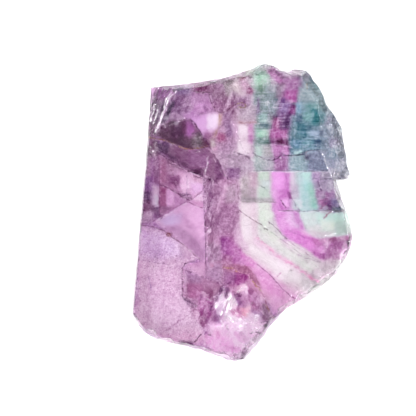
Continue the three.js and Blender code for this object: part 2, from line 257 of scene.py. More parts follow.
deselect_all()
bpy.ops.mesh.primitive_plane_add(size=FLOOR_SIZE, location=(0, 0, -FLOOR_GAP))
floor = bpy.context.object
floor.name = "floor"
pale_paper = bpy.data.materials.new("pale_paper")
paper = Graph(pale_paper)
plain = paper.node("ShaderNodeBsdfPrincipled", None, {"Base Color": grey(PALE), "Roughness": MATT})
paper.node("ShaderNodeOutputMaterial", None, {"Surface": plain})
floor.data.materials.append(pale_paper)
print("floor, m:", list(floor.dimensions.to_2d()))

# %% [markdown]
# ## The slab's mesh
# The CAD mesh is loose triangles. A copy of it is merged, so that faces share their points, and
# it loses the marks that say it is the CAD node. The CAD mesh itself stays as it came.

# %% A merged copy
WELD = 1e-6

make_active(cad_slab)
bpy.ops.object.duplicate()
slab = bpy.context.object
slab.name = "slab"
slab.data.name = "slab"
slab.data.materials.clear()
for mark in [key for key in slab.keys() if key.startswith("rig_")]:
    del slab[mark]
make_active(slab)
bpy.ops.object.mode_set(mode="EDIT")
bpy.ops.mesh.select_all(action="SELECT")
bpy.ops.mesh.remove_doubles(threshold=WELD)
bpy.ops.object.mode_set(mode="OBJECT")
print("merged:", len(slab.data.vertices), "points,", len(slab.data.polygons), "faces")


# %% [markdown]
# ## The marks
# Growth layers, facets, cracks and stains are laid out as a lapidary would sketch them, on a
# drawing of the front face with 0.28 mm squares. They are counted to the right and down
# from a corner that lies up and to the left of the slab. The bands come first: each stop is a
# count of the growth layers and the colour the stone is seen with there.

# %% Bands
LOWER_BANDS = [
    (204, (176, 126, 166)), (214, (216, 160, 198)), (220, (228, 163, 212)), (226, (236, 170, 222)),
    (232, (233, 172, 221)), (235.5, (242, 202, 233)), (240, (242, 214, 234)), (244, (241, 228, 236)),
    (250, (243, 234, 240)), (253.5, (243, 216, 236)), (256.5, (232, 188, 222)), (259, (231, 226, 230)),
    (263, (230, 233, 230)), (268, (232, 228, 230)), (271, (227, 192, 221)), (274, (228, 160, 225)),
    (279, (228, 150, 226)), (284, (222, 146, 218)), (288, (216, 156, 214)), (291, (214, 188, 221)),
    (296, (200, 208, 217)), (303, (192, 219, 222)), (309, (184, 211, 216)), (312.5, (182, 184, 206)),
    (317, (178, 157, 193)), (324, (171, 153, 184)), (330, (172, 160, 188)), (338, (192, 184, 204)),
]
MIDDLE_BANDS = [
    (224, (185, 148, 181)), (234, (172, 144, 171)), (242, (194, 170, 191)), (250, (195, 178, 197)),
    (256, (184, 197, 199)), (261, (172, 195, 191)), (266, (170, 155, 177)), (270, (182, 140, 183)),
    (274, (188, 130, 186)), (280, (166, 105, 165)), (285, (171, 128, 175)), (290, (162, 150, 180)),
    (296, (157, 180, 190)), (300, (151, 188, 192)), (304, (145, 167, 183)), (308, (143, 145, 177)),
    (316, (139, 145, 172)), (324, (138, 148, 174)), (334, (152, 162, 184)),
]
UPPER_BANDS = [
    (224, (161, 114, 157)), (230, (170, 128, 168)), (236, (200, 170, 192)), (241, (222, 200, 217)),
    (246, (212, 184, 206)), (250, (196, 168, 193)), (254, (178, 172, 188)), (258, (158, 178, 180)),
    (262, (148, 168, 170)), (266, (154, 156, 164)), (269, (168, 136, 166)), (272, (176, 114, 165)),
    (276, (160, 94, 154)), (280, (142, 92, 143)), (285, (130, 100, 143)), (289, (124, 122, 152)),
    (293, (114, 138, 158)), (300, (116, 150, 165)), (308, (126, 161, 180)), (314, (126, 152, 172)),
    (320, (130, 146, 168)), (326, (150, 156, 179)), (334, (158, 162, 182)), (344, (176, 180, 196)),
]

# %% [markdown]
# Patches lie over the bands, large ones first and small ones on top. Each one has corners, a
# colour, how soft its edge is in squares, and how strongly it covers what lies under it. The
# bright facets, the bright triangle and the dark hollow are painted reflection and shade of
# cleavages inside the stone, and a few small pale patches are painted glints and highlights.


# %% Patches in the bands
def box(left, top, right, bottom):
    """The corners of an upright rectangle."""
    return [(left, top), (right, top), (right, bottom), (left, bottom)]


BAND_PATCHES = [
    # upright bands, from the top down
    ([(256, 62), (283, 62), (284, 70), (256, 71)], (226, 222, 230), 3, 0.9),
    ([(252, 77), (262, 74), (272, 80), (270, 88), (262, 91), (253, 88)], (158, 200, 183), 2.5, 0.9),
    ([(267, 70), (276, 68), (287, 78), (284, 84), (274, 81)], (168, 96, 169), 1.8, 0.95),
    ([(276, 62), (292, 66), (300, 74), (290, 78), (280, 72)], (224, 212, 228), 3, 0.9),
    ([(286, 79), (301, 80), (298, 103), (284, 103)], (165, 112, 168), 2.0, 0.85),
    ([(280, 101), (294, 100), (290, 115), (277, 115)], (141, 106, 160), 2.2, 0.9),
    ([(277, 114), (290, 114), (288, 129), (275, 129)], (126, 86, 137), 2.2, 0.85),
    ([(272, 129), (287, 129), (287, 139), (271, 139)], (177, 100, 166), 1.8, 0.95),
    ([(270, 138.5), (288, 139), (287, 144.5), (271, 144)], (114, 62, 110), 1.2, 0.95),
    ([(270, 145), (291, 145), (289, 155), (277, 156), (271, 158)], (194, 132, 191), 1.2, 0.9),
    ([(276, 156), (288, 156), (288, 170.5), (275, 170.5)], (173, 114, 171), 1.5, 0.9),
    ([(256, 92), (279, 92), (276, 122), (257, 124)], (140, 154, 160), 3, 0.75),
    ([(256, 122), (270, 120), (269, 129), (256, 128)], (146, 168, 171), 2, 0.7),
    (box(256, 129, 269, 138), (170, 197, 188), 1.6, 0.85),
    (box(254, 138.5, 270, 144), (122, 140, 144), 1.4, 0.8),
    ([(253, 145), (271, 145), (274, 158), (262, 158), (254, 153)], (184, 190, 194), 1.5, 0.8),
    ([(254, 158), (274, 159), (274, 170.5), (254, 170.5)], (176, 184, 188), 1.5, 0.8),
    ([(296, 86), (318, 88), (322, 104), (297, 104)], (157, 171, 182), 3, 0.8),
    ([(296, 102), (308, 102), (307, 114), (296, 114)], (146, 170, 187), 2.5, 0.8),
    ([(309, 109), (320, 108), (320, 126), (309, 127)], (102, 150, 165), 2.4, 0.9),
    ([(292, 116), (309, 114), (309, 131), (291, 132)], (117, 146, 162), 3, 0.8),
    (box(306, 131, 321, 138), (158, 181, 201), 1.8, 0.8),
    ([(289, 139), (321.5, 138), (321.5, 150), (299, 154), (289, 155)], (108, 138, 160), 2.0, 0.85),
    ([(290, 156), (309, 156), (308, 171), (290, 171)], (150, 174, 186), 1.5, 0.85),
    ([(309, 152), (321.5, 150), (328, 170.5), (311, 170.5)], (136, 141, 171), 1.5, 0.9),
    ([(322, 104), (334, 110), (344, 132), (343, 146), (324, 148), (321, 130)], (144, 152, 172), 3, 0.8),
    ([(300, 76), (312, 82), (326, 100), (336, 114), (322, 114), (310, 96)], (196, 206, 214), 2.5, 0.8),
    ([(326, 150), (345, 148), (350, 172), (331, 178)], (166, 170, 191), 2.5, 0.85),
    # upright bands, below the ledge
    (box(256, 171.5, 270, 202), (197, 204, 200), 2, 0.8),
    (box(242, 172, 256, 202), (190, 166, 183), 2.5, 0.8),
    (box(273, 171.5, 281, 198), (234, 166, 232), 2, 0.8),
    (box(303, 171.5, 312, 200), (182, 219, 222), 2, 0.75),
    ([(242, 203), (257, 203), (258, 236), (248, 246), (242, 240)], (238, 217, 230), 2.5, 0.8),
    ([(296, 213), (346, 211), (350, 234), (320, 238), (302, 226)], (212, 222, 224), 3, 0.75),
]

# %% The purple half
PURPLE_AREAS = [
    # upper left
    ([(140, 80), (250, 70), (250, 118), (222, 114), (190, 118), (162, 124), (144, 140)],
     (160, 115, 158), 3, 0.9),
    ([(191, 94), (208, 96), (213, 108), (204, 113), (190, 116)], (198, 142, 196), 3, 0.8),
    ([(176, 100), (192, 98), (190, 117), (172, 119)], (166, 118, 167), 4, 0.6),
    ([(193, 82), (210, 80), (208, 92), (196, 93)], (128, 68, 108), 2.2, 0.8),
    ([(150, 86), (178, 84), (170, 100), (152, 104)], (150, 105, 150), 4, 0.6),
    ([(212, 94), (234, 92), (232, 106), (220, 112), (214, 106)], (170, 120, 160), 2.5, 0.7),
    ([(226, 80), (240, 78), (238, 94), (226, 94)], (184, 160, 172), 3, 0.8),
    (box(240, 188, 256, 202), (184, 164, 180), 2, 0.7),
    ([(233, 81), (248, 80), (248, 96), (236, 98)], (214, 184, 203), 2.5, 0.8),
    ([(246, 86), (253, 87), (252, 94), (246, 93)], (158, 104, 142), 1.6, 0.7),
    ([(237, 78), (250, 76), (256, 82), (247, 85)], (180, 140, 168), 2.0, 0.6),
    ([(222, 106), (240, 106), (238, 122), (221, 128)], (162, 115, 150), 3, 0.8),
    ([(237, 106), (256, 106), (256, 121), (238, 122)], (184, 160, 180), 2, 0.8),
    ([(214, 122), (238, 122), (238, 150), (222, 152), (212, 140)], (176, 131, 170), 3, 0.85),
    ([(238, 123.5), (247, 123.5), (247, 156), (238, 154)], (236, 214, 232), 1.2, 0.95),
    ([(247, 124), (253, 124), (254, 158), (247, 157)], (214, 184, 210), 1.4, 0.9),
    ([(212, 150), (231, 152), (250, 158), (254, 171), (240, 178), (226, 176)], (180, 150, 178), 2, 0.85),
    ([(225, 170), (239, 170), (239, 181), (229, 181)], (155, 108, 147), 2.4, 0.8),
    # bright facet and dark hollow, painted reflection and shade
    ([(190.9, 118.1), (205.9, 113.9), (213.7, 111.7), (220.1, 113.9), (219.4, 123.1), (213.7, 133.1),
      (209, 139), (202.3, 131.7), (196.6, 124.6)], (215, 166, 214), 1.0, 1.0),
    ([(207, 113.5), (220, 114), (219, 123), (213, 131), (207, 128)], (246, 221, 248), 2.4, 0.95),
    ([(156.6, 133.9), (162.3, 124.6), (170.9, 121), (180.9, 119.6), (189.4, 118.9), (195.1, 124.6),
      (200.9, 133.9), (208, 144.6), (205.1, 148.9), (190.9, 148.9), (175.1, 145.3), (165.1, 140.3)],
     (110, 69, 100), 1.1, 1.0),
    ([(170, 123), (186, 121), (187, 138), (176, 141), (166, 134)], (90, 52, 82), 4, 0.9),
    ([(187, 121), (193, 123.5), (197, 133), (191, 138), (187, 134)], (149, 85, 142), 2, 0.9),
    ([(191, 134), (200, 133), (205, 143), (200, 146.5), (191, 145)], (118, 88, 108), 1.4, 0.85),
    ([(157, 134), (168, 130), (172, 141), (164, 139.5)], (106, 73, 98), 2.4, 0.8),
    # purple facet under the hollow, darkened by painted reflection
    ([(156.6, 143.1), (175.1, 145.8), (192.3, 150), (208, 149), (213.7, 154.6), (219.4, 164.6),
      (225.1, 177.4), (216, 182), (203.7, 175.5), (190.9, 171), (182.3, 166.5), (170.9, 159.4),
      (160.9, 150.8)], (134, 82, 126), 0.8, 1.0),
    ([(157, 143.5), (172, 146), (176, 156), (168, 157)], (111, 69, 105), 4, 0.8),
    ([(207, 151), (214, 156), (223, 177), (214, 180), (206, 174)], (144, 91, 134), 2, 0.8),
    # between facet and vertical crack
    ([(156, 152), (170, 160), (190, 171.5), (203, 176.5), (203, 194), (189, 200), (159, 184)],
     (176, 119, 164), 1.2, 0.95),
    ([(174, 172), (186, 171), (203, 178), (202, 192), (191, 198), (178, 188)], (227, 172, 218), 3.5, 0.9),
    ([(188, 186), (202, 180), (202, 193), (192, 197)], (231, 179, 225), 2, 0.8),
    ([(159.4, 184.6), (189.4, 199.5), (158.7, 217)], (180, 120, 168), 1.0, 1.0),
    ([(160, 186), (168, 189), (166, 212), (160, 215)], (172, 106, 149), 2.2, 0.8),
    ([(167, 190), (178, 195), (177, 205), (166, 209)], (210, 153, 202), 2.6, 0.8),
    ([(204.5, 176), (216, 182), (226, 178), (240, 183), (240, 236), (222, 262), (206, 262)],
     (178, 126, 168), 2.0, 0.9),
    ([(220, 236), (234, 238), (242, 250), (246, 262), (236, 264), (221, 262)], (184, 110, 172), 3, 0.9),
    # left strip
    ([(142, 136), (157, 136), (157, 184), (140, 184)], (148, 104, 144), 2, 0.9),
    ([(140, 178), (151, 178), (151, 213), (138, 214)], (137, 94, 134), 3, 0.85),
    ([(151.5, 184), (158.5, 184), (158, 214), (152, 214)], (197, 151, 193), 1.6, 0.9),
    ([(138, 206), (156, 212), (152, 222), (138, 224)], (170, 130, 164), 2.6, 0.7),
    # bright triangle, a painted reflection in a cleavage
    ([(154, 221), (202.8, 192), (205, 265)], (218, 166, 212), 0.9, 1.0),
    ([(160, 218), (174, 212), (176, 226), (164, 226)], (202, 162, 207), 3.5, 0.85),
    ([(172, 228), (188, 234), (204, 250), (205, 264), (186, 244)], (187, 134, 180), 3.0, 0.75),
    ([(190, 205), (203, 200), (204, 238), (192, 222)], (243, 189, 237), 4, 0.7),
    # lower left
    ([(136, 226), (163, 230), (174, 238.5), (185, 245.5), (200, 259), (191, 262), (182.5, 268),
      (182.5, 297), (188.5, 301.5), (200, 306), (206, 322), (200, 342), (176, 344), (150, 332), (130, 320)],
     (220, 178, 213), 1.2, 1.0),
    ([(134, 262), (166, 265), (182, 270), (182, 300), (196, 312), (190, 336), (150, 330), (130, 316)],
     (225, 184, 217), 4, 0.6),
    ([(140, 228), (160, 231), (176, 242), (170, 256), (142, 256)], (220, 180, 224), 4, 0.6),
    # two facets, lighter and darker by painted reflection
    ([(182.5, 268.5), (185, 270), (202.5, 276.8), (223, 285.5), (214.5, 299), (200, 306), (188.5, 301.5),
      (182.5, 296)], (182, 124, 168), 0.9, 1.0),
    ([(196, 276), (222, 286), (214, 298), (200, 300)], (172, 112, 157), 3.5, 0.7),
    ([(187, 264.8), (207.5, 260.5), (205, 277.5), (184, 269.5)], (214, 160, 204), 0.9, 1.0),
    ([(206, 262), (222, 262), (238, 272), (232, 286), (222, 285), (205, 277)], (180, 122, 163), 2, 0.9),
    ([(228, 274), (247, 274), (250, 286), (238, 291), (226, 289)], (175, 98, 155), 3, 0.9),
    ([(198, 300), (216, 296), (222, 288), (214, 330), (202, 330)], (178, 110, 165), 3.5, 0.85),
    ([(218, 290), (228, 288), (236, 300), (236, 326), (224, 332), (216, 310)], (226, 182, 216), 3, 0.85),
    ([(236, 284), (250, 278), (256, 296), (258, 312), (244, 308), (236, 296)], (202, 141, 184), 3, 0.8),
    ([(232, 306), (250, 304), (252, 318), (234, 320)], (226, 172, 206), 3, 0.75),
    ([(204, 326), (232, 322), (262, 318), (270, 326), (258, 340), (230, 346), (206, 340)],
     (240, 200, 234), 4, 0.8),
    ([(200, 336), (250, 332), (252, 340), (238, 360), (216, 356)], (238, 192, 230), 3, 0.85),
    ([(232, 362), (238, 346), (252, 334), (262, 334), (254, 348), (244, 364)], (214, 182, 212), 2, 0.85),
]

# %% Smaller patches, upper left
UPPER_LEFT_DETAILS = [
    ([(157, 88), (174, 87), (170, 97), (158, 100)], (160, 98, 164), 2, 0.7),
    ([(174, 87), (192, 86), (190, 94), (176, 95)], (142, 116, 166), 2, 0.7),
    ([(171, 98), (181, 96), (180, 113), (172, 112)], (122, 74, 128), 2, 0.75),
    # dark strips beside the glinting slivers, in painted shade
    ([(159, 104), (164, 104), (160, 116), (156, 122), (155, 116)], (104, 80, 120), 0.9, 0.8),
    ([(172, 100), (175, 103), (167, 119), (162, 126), (161, 121), (168, 108)], (72, 60, 84), 0.8, 0.8),
    ([(142, 92), (158, 98), (158, 132), (141, 140)], (98, 76, 98), 2.5, 0.9),
    ([(160, 104), (168, 98), (164, 112), (158, 122)], (112, 92, 116), 1.2, 0.8),
    ([(152, 96), (157, 96), (156, 99.5), (152, 99)], (230, 194, 230), 0.8, 0.9),
    ([(145, 124), (158, 124), (156, 136), (145, 137)], (122, 84, 116), 1.8, 0.8),
    ([(141, 138), (157, 140), (157, 158), (140, 158)], (108, 74, 102), 2.0, 0.85),
    ([(165, 119), (170, 113), (171, 115), (167, 121)], (196, 184, 206), 0.7, 0.8),
    ([(193, 93), (208, 94), (212, 108), (207, 113), (196, 112), (190, 104)], (204, 142, 202), 1.5, 0.7),
    ([(193, 103), (204, 103), (203, 107), (195, 107)], (226, 164, 226), 1.2, 0.8),
    ([(181, 113), (195, 110), (200, 117), (186, 119)], (204, 142, 208), 1.6, 0.75),
    ([(203, 106), (206, 105), (209, 112), (207, 114)], (138, 84, 138), 0.9, 0.7),
    ([(192, 86), (206, 84), (205, 91), (195, 92)], (116, 54, 100), 1.4, 0.85),
    ([(207, 86), (216, 84), (216, 92), (209, 93)], (150, 96, 138), 1.4, 0.7),
    ([(212, 101), (222, 99), (230, 102), (225, 109), (216, 110)], (146, 86, 136), 1.6, 0.75),
    ([(218, 90), (226, 89), (225, 96), (217, 96)], (180, 132, 168), 1.6, 0.6),
    ([(221, 96), (234, 96), (234, 113), (222, 113)], (124, 72, 112), 2.0, 0.85),
    # the hollow in painted shade, and the rough lens in it
    ([(162, 124), (176, 121), (186, 120), (186, 136), (172, 138), (161, 135)], (98, 54, 92), 2, 0.7),
    ([(170, 128), (183, 126), (184, 136), (172, 136)], (76, 36, 74), 2.5, 0.85),
    ([(182, 120), (186, 120), (186, 130), (183, 134)], (106, 46, 94), 0.9, 0.8),
    ([(187, 121), (192, 122), (195, 130), (191, 135), (186, 135)], (168, 94, 168), 1.4, 0.9),
    # a painted glint on the hollow's rim
    ([(174, 121.5), (179, 121), (178, 124.5), (174.5, 125)], (214, 200, 220), 0.6, 0.75),
    ([(191, 139), (195, 133), (201, 133), (203, 141), (198, 147), (191, 146)], (98, 76, 92), 1.0, 0.85),
    ([(195, 138), (200, 137), (201, 142), (197, 143)], (124, 110, 122), 0.8, 0.75),
    ([(203, 137), (209, 138), (211, 148), (204, 148)], (88, 42, 74), 1.1, 0.85),
    ([(204, 132), (212, 133), (211, 139), (205, 138)], (156, 86, 152), 1.1, 0.85),
    ([(170, 138), (191, 139), (191, 147), (178, 146)], (92, 56, 88), 1.3, 0.75),
    # bright facet, a painted reflection, and what lies to its right
    ([(192, 118.5), (207, 114), (206, 132), (201, 131)], (222, 166, 226), 1.0, 0.85),
    ([(208, 115), (213, 113), (219, 116), (218, 124), (212, 130), (207, 128)], (246, 224, 250), 2.0, 0.8),
    ([(219, 113), (223, 113), (221, 125), (218, 125)], (198, 160, 152), 0.8, 0.85),
    ([(215, 129), (218, 129), (216, 139), (212, 139)], (188, 152, 142), 0.9, 0.85),
    ([(205, 134), (226, 132), (228, 146), (212, 148)], (158, 104, 142), 2.0, 0.7),
    ([(210, 139.5), (214, 139.5), (215.5, 147), (211.5, 148)], (204, 192, 190), 0.9, 0.8),
    ([(218, 133), (225, 134), (225, 142), (218, 142)], (166, 76, 126), 1.5, 0.8),
    ([(223, 112), (232, 110), (230, 123), (222, 127)], (168, 126, 170), 1.6, 0.7),
    (box(226, 124, 233, 136), (126, 82, 134), 2, 0.7),
    ([(232, 122), (238, 124), (238, 142), (234, 140)], (218, 174, 212), 1.4, 0.8),
    ([(216, 143), (236, 143), (231, 152), (220, 160)], (176, 136, 174), 2, 0.7),
    # facet under the hollow, darkened by painted reflection
    ([(157, 141), (170, 142), (168, 152), (160, 154), (156, 147)], (84, 50, 90), 1.8, 0.85),
    ([(161, 151), (173, 155), (181, 163), (172, 160)], (98, 60, 100), 1.6, 0.8),
    ([(164, 158), (176, 160), (182, 168), (170, 166)], (132, 80, 124), 1.8, 0.7),
    ([(186, 152), (206, 151), (212, 160), (206, 172), (190, 166)], (158, 100, 154), 3, 0.8),
    ([(193, 169), (202, 168), (202, 176), (195, 174)], (88, 40, 80), 1.1, 0.85),
    ([(217, 159), (222, 168), (224, 178), (217, 179), (214, 168)], (108, 54, 104), 1.5, 0.85),
    ([(178, 156), (186, 162), (190, 168), (182, 165)], (108, 62, 104), 1.4, 0.7),
]

# %% Smaller patches, left side
LEFT_DETAILS = [
    ([(146, 139), (153, 139), (152, 146), (146, 146)], (124, 60, 118), 1.4, 0.75),
    ([(150, 144), (156, 143), (156, 154), (150, 154)], (158, 124, 150), 1.4, 0.6),
    ([(144, 156), (151, 156), (150, 176), (143, 178)], (188, 148, 182), 1.2, 0.75),
    (box(151, 158, 154, 184), (184, 122, 184), 1.0, 0.75),
    (box(154, 156, 159.5, 184), (160, 104, 154), 1.0, 0.75),
    (box(144, 176, 152, 191), (146, 90, 158), 1.5, 0.85),
    ([(144, 191), (152, 191), (151, 201), (143, 201)], (98, 60, 106), 1.4, 0.85),
    ([(143, 200), (153, 202), (155, 211), (143, 212)], (122, 70, 112), 1.4, 0.8),
    ([(152, 207), (159, 207), (162, 217), (155, 219)], (124, 80, 126), 1.3, 0.8),
    ([(152, 186), (159, 186), (158.6, 207), (152.6, 206)], (210, 170, 208), 1.0, 0.9),
    ([(154, 195), (158.6, 194), (158.6, 206), (155, 207)], (214, 200, 224), 0.9, 0.8),
    ([(142, 212), (151, 212), (154, 221), (140, 223)], (172, 128, 168), 1.3, 0.7),
    ([(160, 160), (166, 160), (166, 182), (160, 183)], (174, 104, 150), 1.5, 0.75),
    ([(168, 175), (180, 176), (180, 188), (170, 186)], (130, 66, 120), 2, 0.8),
    ([(170, 184), (175, 184), (175, 189), (171, 189)], (208, 144, 194), 1.0, 0.7),
    ([(180, 174), (188, 174), (188, 193), (181, 192)], (236, 188, 228), 1.5, 0.85),
    ([(190, 180), (203, 182), (203, 191), (192, 194)], (238, 190, 240), 1.5, 0.85),
    ([(191, 175), (203, 178), (203, 184), (192, 181)], (206, 150, 186), 1.1, 0.8),
    ([(180, 193), (190, 194), (191, 199), (186, 201), (181, 197)], (150, 108, 148), 0.9, 0.8),
    ([(160, 187), (165.5, 188), (166, 206), (160, 212)], (148, 68, 122), 1.2, 0.85),
    ([(167, 189), (174, 191), (173, 205), (167, 206)], (226, 168, 222), 1.2, 0.9),
    ([(175, 194), (186, 199), (178, 206), (174, 206)], (194, 136, 190), 1.1, 0.8),
    ([(160, 206), (173, 207), (160, 217)], (150, 98, 144), 1.1, 0.8),
    ([(192, 199), (203, 193), (203, 201)], (244, 206, 238), 0.8, 0.85),
    ([(190, 200), (203, 202), (203, 208), (196, 206)], (216, 152, 202), 1.0, 0.8),
    ([(160, 219), (172, 214), (182, 214), (180, 224), (165, 226)], (206, 178, 224), 2, 0.75),
    ([(184, 206), (203, 209), (204, 240), (190, 224)], (240, 188, 234), 3, 0.7),
    ([(160, 224), (180, 228), (196, 240), (204, 252), (204, 262), (190, 250), (176, 238), (164, 230)],
     (176, 124, 172), 2, 0.7),
    ([(205, 176), (214, 176), (222, 180), (212, 184), (206, 184)], (104, 54, 98), 1.3, 0.75),
    ([(206, 183), (221, 184), (221, 232), (206, 236)], (150, 95, 142), 2.5, 0.75),
    ([(227, 184), (238, 184), (238, 202), (225, 204)], (192, 164, 186), 2.5, 0.75),
    ([(219, 205), (236, 206), (235, 230), (218, 232)], (166, 112, 158), 3, 0.6),
    ([(221, 237), (228, 237), (232, 256), (222, 258)], (152, 70, 148), 2, 0.85),
    ([(228, 240), (237, 246), (245, 258), (240, 264), (226, 262)], (194, 112, 184), 2.5, 0.8),
    ([(234, 226), (240, 230), (250, 251), (244, 252), (234, 240)], (224, 186, 218), 2.2, 0.8),
    ([(240, 251), (251, 257), (260, 266), (252, 268), (242, 262)], (226, 140, 212), 2.0, 0.75),
    ([(222, 264.5), (238, 264), (250, 267), (256, 274), (262, 288), (258, 290), (250, 277), (236, 272),
      (223, 271)], (162, 92, 132), 1.8, 0.9),
    ([(222, 254), (232, 256), (232, 265), (222, 265)], (162, 96, 140), 1.8, 0.7),
    ([(206, 244), (221, 244), (221, 262), (207, 262)], (164, 122, 162), 2.5, 0.7),
    ([(225, 184), (229, 185), (221, 203), (218, 213), (216, 210), (220, 198)], (228, 182, 218), 1.2, 0.75),
    ([(226, 167), (240, 168), (239, 179), (228, 178)], (138, 88, 142), 1.4, 0.8),
    ([(208, 184), (214, 188), (212, 214), (207, 214)], (150, 100, 148), 1.5, 0.6),
]

# %% Smaller patches, upper bands
UPPER_BAND_DETAILS = [
    ([(246, 69), (255, 70), (253, 76), (245, 76)], (192, 178, 178), 1.4, 0.8),
    ([(255, 75), (266, 75), (271, 80), (266, 86), (257, 88), (253, 83)], (166, 218, 192), 1.5, 0.9),
    ([(258, 86), (266, 84), (264, 92), (258, 91)], (112, 136, 122), 1.0, 0.7),
    ([(231, 84), (241, 84), (242, 94), (234, 94)], (232, 212, 222), 1.5, 0.85),
    ([(241, 78), (247, 80), (246, 92), (242, 92)], (214, 160, 202), 1.1, 0.8),
    ([(246, 88), (252, 88), (252, 94), (247, 94)], (138, 60, 108), 1.0, 0.8),
    ([(238, 76), (246, 76), (245, 80), (239, 81)], (168, 96, 130), 1.0, 0.75),
    ([(224, 82), (231, 82), (231, 97), (225, 97)], (170, 152, 162), 1.6, 0.75),
    ([(264, 84), (278, 84), (275, 112), (262, 112)], (138, 160, 166), 2, 0.75),
    ([(272, 100), (279, 98), (276, 116), (268, 116)], (112, 130, 146), 2, 0.7),
    ([(277, 83), (285, 84), (282, 98), (276, 98)], (162, 142, 168), 1.8, 0.8),
    ([(268, 71), (274, 70), (282, 79), (281, 83), (274, 80)], (180, 78, 164), 1.1, 0.95),
    ([(282, 68), (292, 70), (290, 78), (284, 76)], (232, 216, 236), 1.2, 0.85),
    ([(292, 68), (304, 68), (302, 78), (292, 78)], (204, 176, 202), 1.5, 0.8),
    ([(303, 70), (310, 74), (308, 82), (303, 80)], (182, 164, 186), 1.2, 0.75),
    ([(287, 79), (299, 79), (298, 90), (286, 90)], (170, 104, 166), 1.3, 0.85),
    ([(286, 90), (298, 90), (296, 103), (284, 99)], (190, 98, 172), 1.4, 0.85),
    # a painted glint
    ([(288.5, 100), (293, 100.5), (293, 103), (289, 102.5)], (246, 206, 240), 0.6, 0.9),
    ([(281, 98), (285, 98), (285, 104), (280, 104)], (92, 62, 118), 1.0, 0.8),
    ([(282, 104), (290, 103), (288, 112), (281, 112)], (142, 112, 172), 1.4, 0.8),
    ([(289, 105), (296, 105), (295, 115), (289, 114)], (150, 68, 138), 1.3, 0.85),
    ([(278, 113), (292, 114), (290, 130), (279, 130)], (108, 68, 122), 1.8, 0.85),
    ([(274, 118), (280, 118), (279, 130), (273, 130)], (160, 76, 130), 1.4, 0.8),
    ([(272, 130), (287, 130), (287, 138), (271, 138)], (176, 94, 160), 1.4, 0.85),
    ([(273, 138.5), (284, 139), (288, 145), (280, 144.5)], (100, 32, 84), 0.9, 0.9),
    ([(272, 145), (283, 146), (290, 148), (288, 156), (278, 152), (271, 153)], (198, 128, 192), 1.8, 0.8),
    ([(279, 152), (284, 153), (283, 158), (279, 157)], (98, 40, 96), 0.9, 0.8),
    (box(238, 125, 247.5, 134), (246, 230, 244), 1.6, 0.8),
    ([(248, 124), (253, 124), (253, 144), (248.5, 144)], (214, 148, 204), 1.0, 0.85),
    (box(249, 135, 252.5, 143), (176, 106, 168), 0.8, 0.8),
    ([(238, 143), (250, 143), (250, 154), (238, 152)], (236, 220, 232), 1.2, 0.8),
    (box(238, 121, 257, 124), (190, 142, 160), 0.7, 0.8),
    (box(240, 121.6, 250, 122.8), (244, 222, 232), 0.5, 0.8),
    ([(242, 108), (256, 107), (256, 120), (242, 120)], (196, 174, 196), 1.3, 0.75),
    ([(257, 97), (259.6, 97), (259.4, 114), (256.6, 114)], (130, 90, 148), 0.8, 0.8),
    ([(259, 113), (268, 113), (267, 119), (259, 119)], (144, 182, 180), 1.1, 0.85),
    (box(259, 120, 267, 122.4), (196, 230, 226), 0.8, 0.85),
    ([(259, 123), (272, 123.5), (271, 129), (259, 129)], (106, 128, 142), 1.0, 0.85),
    ([(256, 130), (267, 130), (266, 137), (256, 137)], (178, 218, 200), 1.1, 0.9),
    ([(257, 138), (269, 138.5), (271, 144), (258, 144)], (98, 130, 128), 1.1, 0.85),
    ([(255, 146), (262, 146), (261, 158), (257, 156)], (190, 220, 210), 1.1, 0.85),
    ([(263, 147), (271, 147), (271, 156), (265, 156)], (178, 170, 176), 1.2, 0.8),
    ([(310, 82), (322, 86), (324, 99), (312, 98)], (160, 194, 194), 1.8, 0.8),
    (box(300, 92, 312, 101), (168, 182, 192), 1.6, 0.75),
    ([(304, 104), (318, 102), (318, 109), (306, 112)], (138, 182, 184), 1.5, 0.8),
    (box(296, 103, 302, 113), (142, 174, 206), 1.2, 0.85),
    ([(296, 114), (303, 114), (302, 122), (295, 122)], (92, 108, 140), 1.2, 0.75),
    ([(303, 112), (312, 113), (311, 121), (303, 121)], (132, 182, 182), 1.3, 0.8),
    ([(311, 108), (318, 112), (320, 121), (315, 127), (313, 120), (314, 114)], (52, 124, 136), 1.1, 0.85),
    ([(296, 123), (306, 123), (306, 136), (297, 137)], (84, 128, 150), 1.8, 0.85),
    ([(307, 125), (317, 126), (314, 131), (306, 130)], (88, 112, 138), 1.1, 0.7),
    ([(310, 131), (320, 130), (320, 138), (311, 137)], (174, 188, 218), 1.2, 0.9),
    (box(291, 139, 301, 148), (74, 116, 148), 1.3, 0.85),
    ([(302, 140), (314, 140), (314, 148), (302, 147)], (112, 158, 176), 1.3, 0.8),
    (box(314.5, 139, 321, 147), (66, 92, 128), 1.1, 0.85),
    # a painted highlight along an edge
    ([(293, 151), (302, 151), (302, 154), (294, 154)], (210, 244, 242), 0.7, 0.9),
    ([(322, 112), (330, 112), (331, 122), (323, 124)], (172, 184, 208), 1.5, 0.75),
    ([(325, 117), (330, 117), (329, 126), (325, 126)], (148, 116, 158), 1.2, 0.75),
    ([(319, 129), (324, 130), (323, 136), (319, 135)], (62, 72, 104), 1.0, 0.8),
    ([(329, 138), (337, 139), (336, 147), (330, 148)], (140, 106, 156), 1.3, 0.75),
    ([(327, 148), (337, 149), (336, 159), (328, 158)], (118, 150, 172), 1.3, 0.75),
    ([(331, 160), (340, 160), (337, 168), (332, 168)], (150, 146, 188), 1.2, 0.75),
    ([(305, 154), (309, 155), (309, 160), (305, 159)], (70, 62, 92), 0.9, 0.8),
]

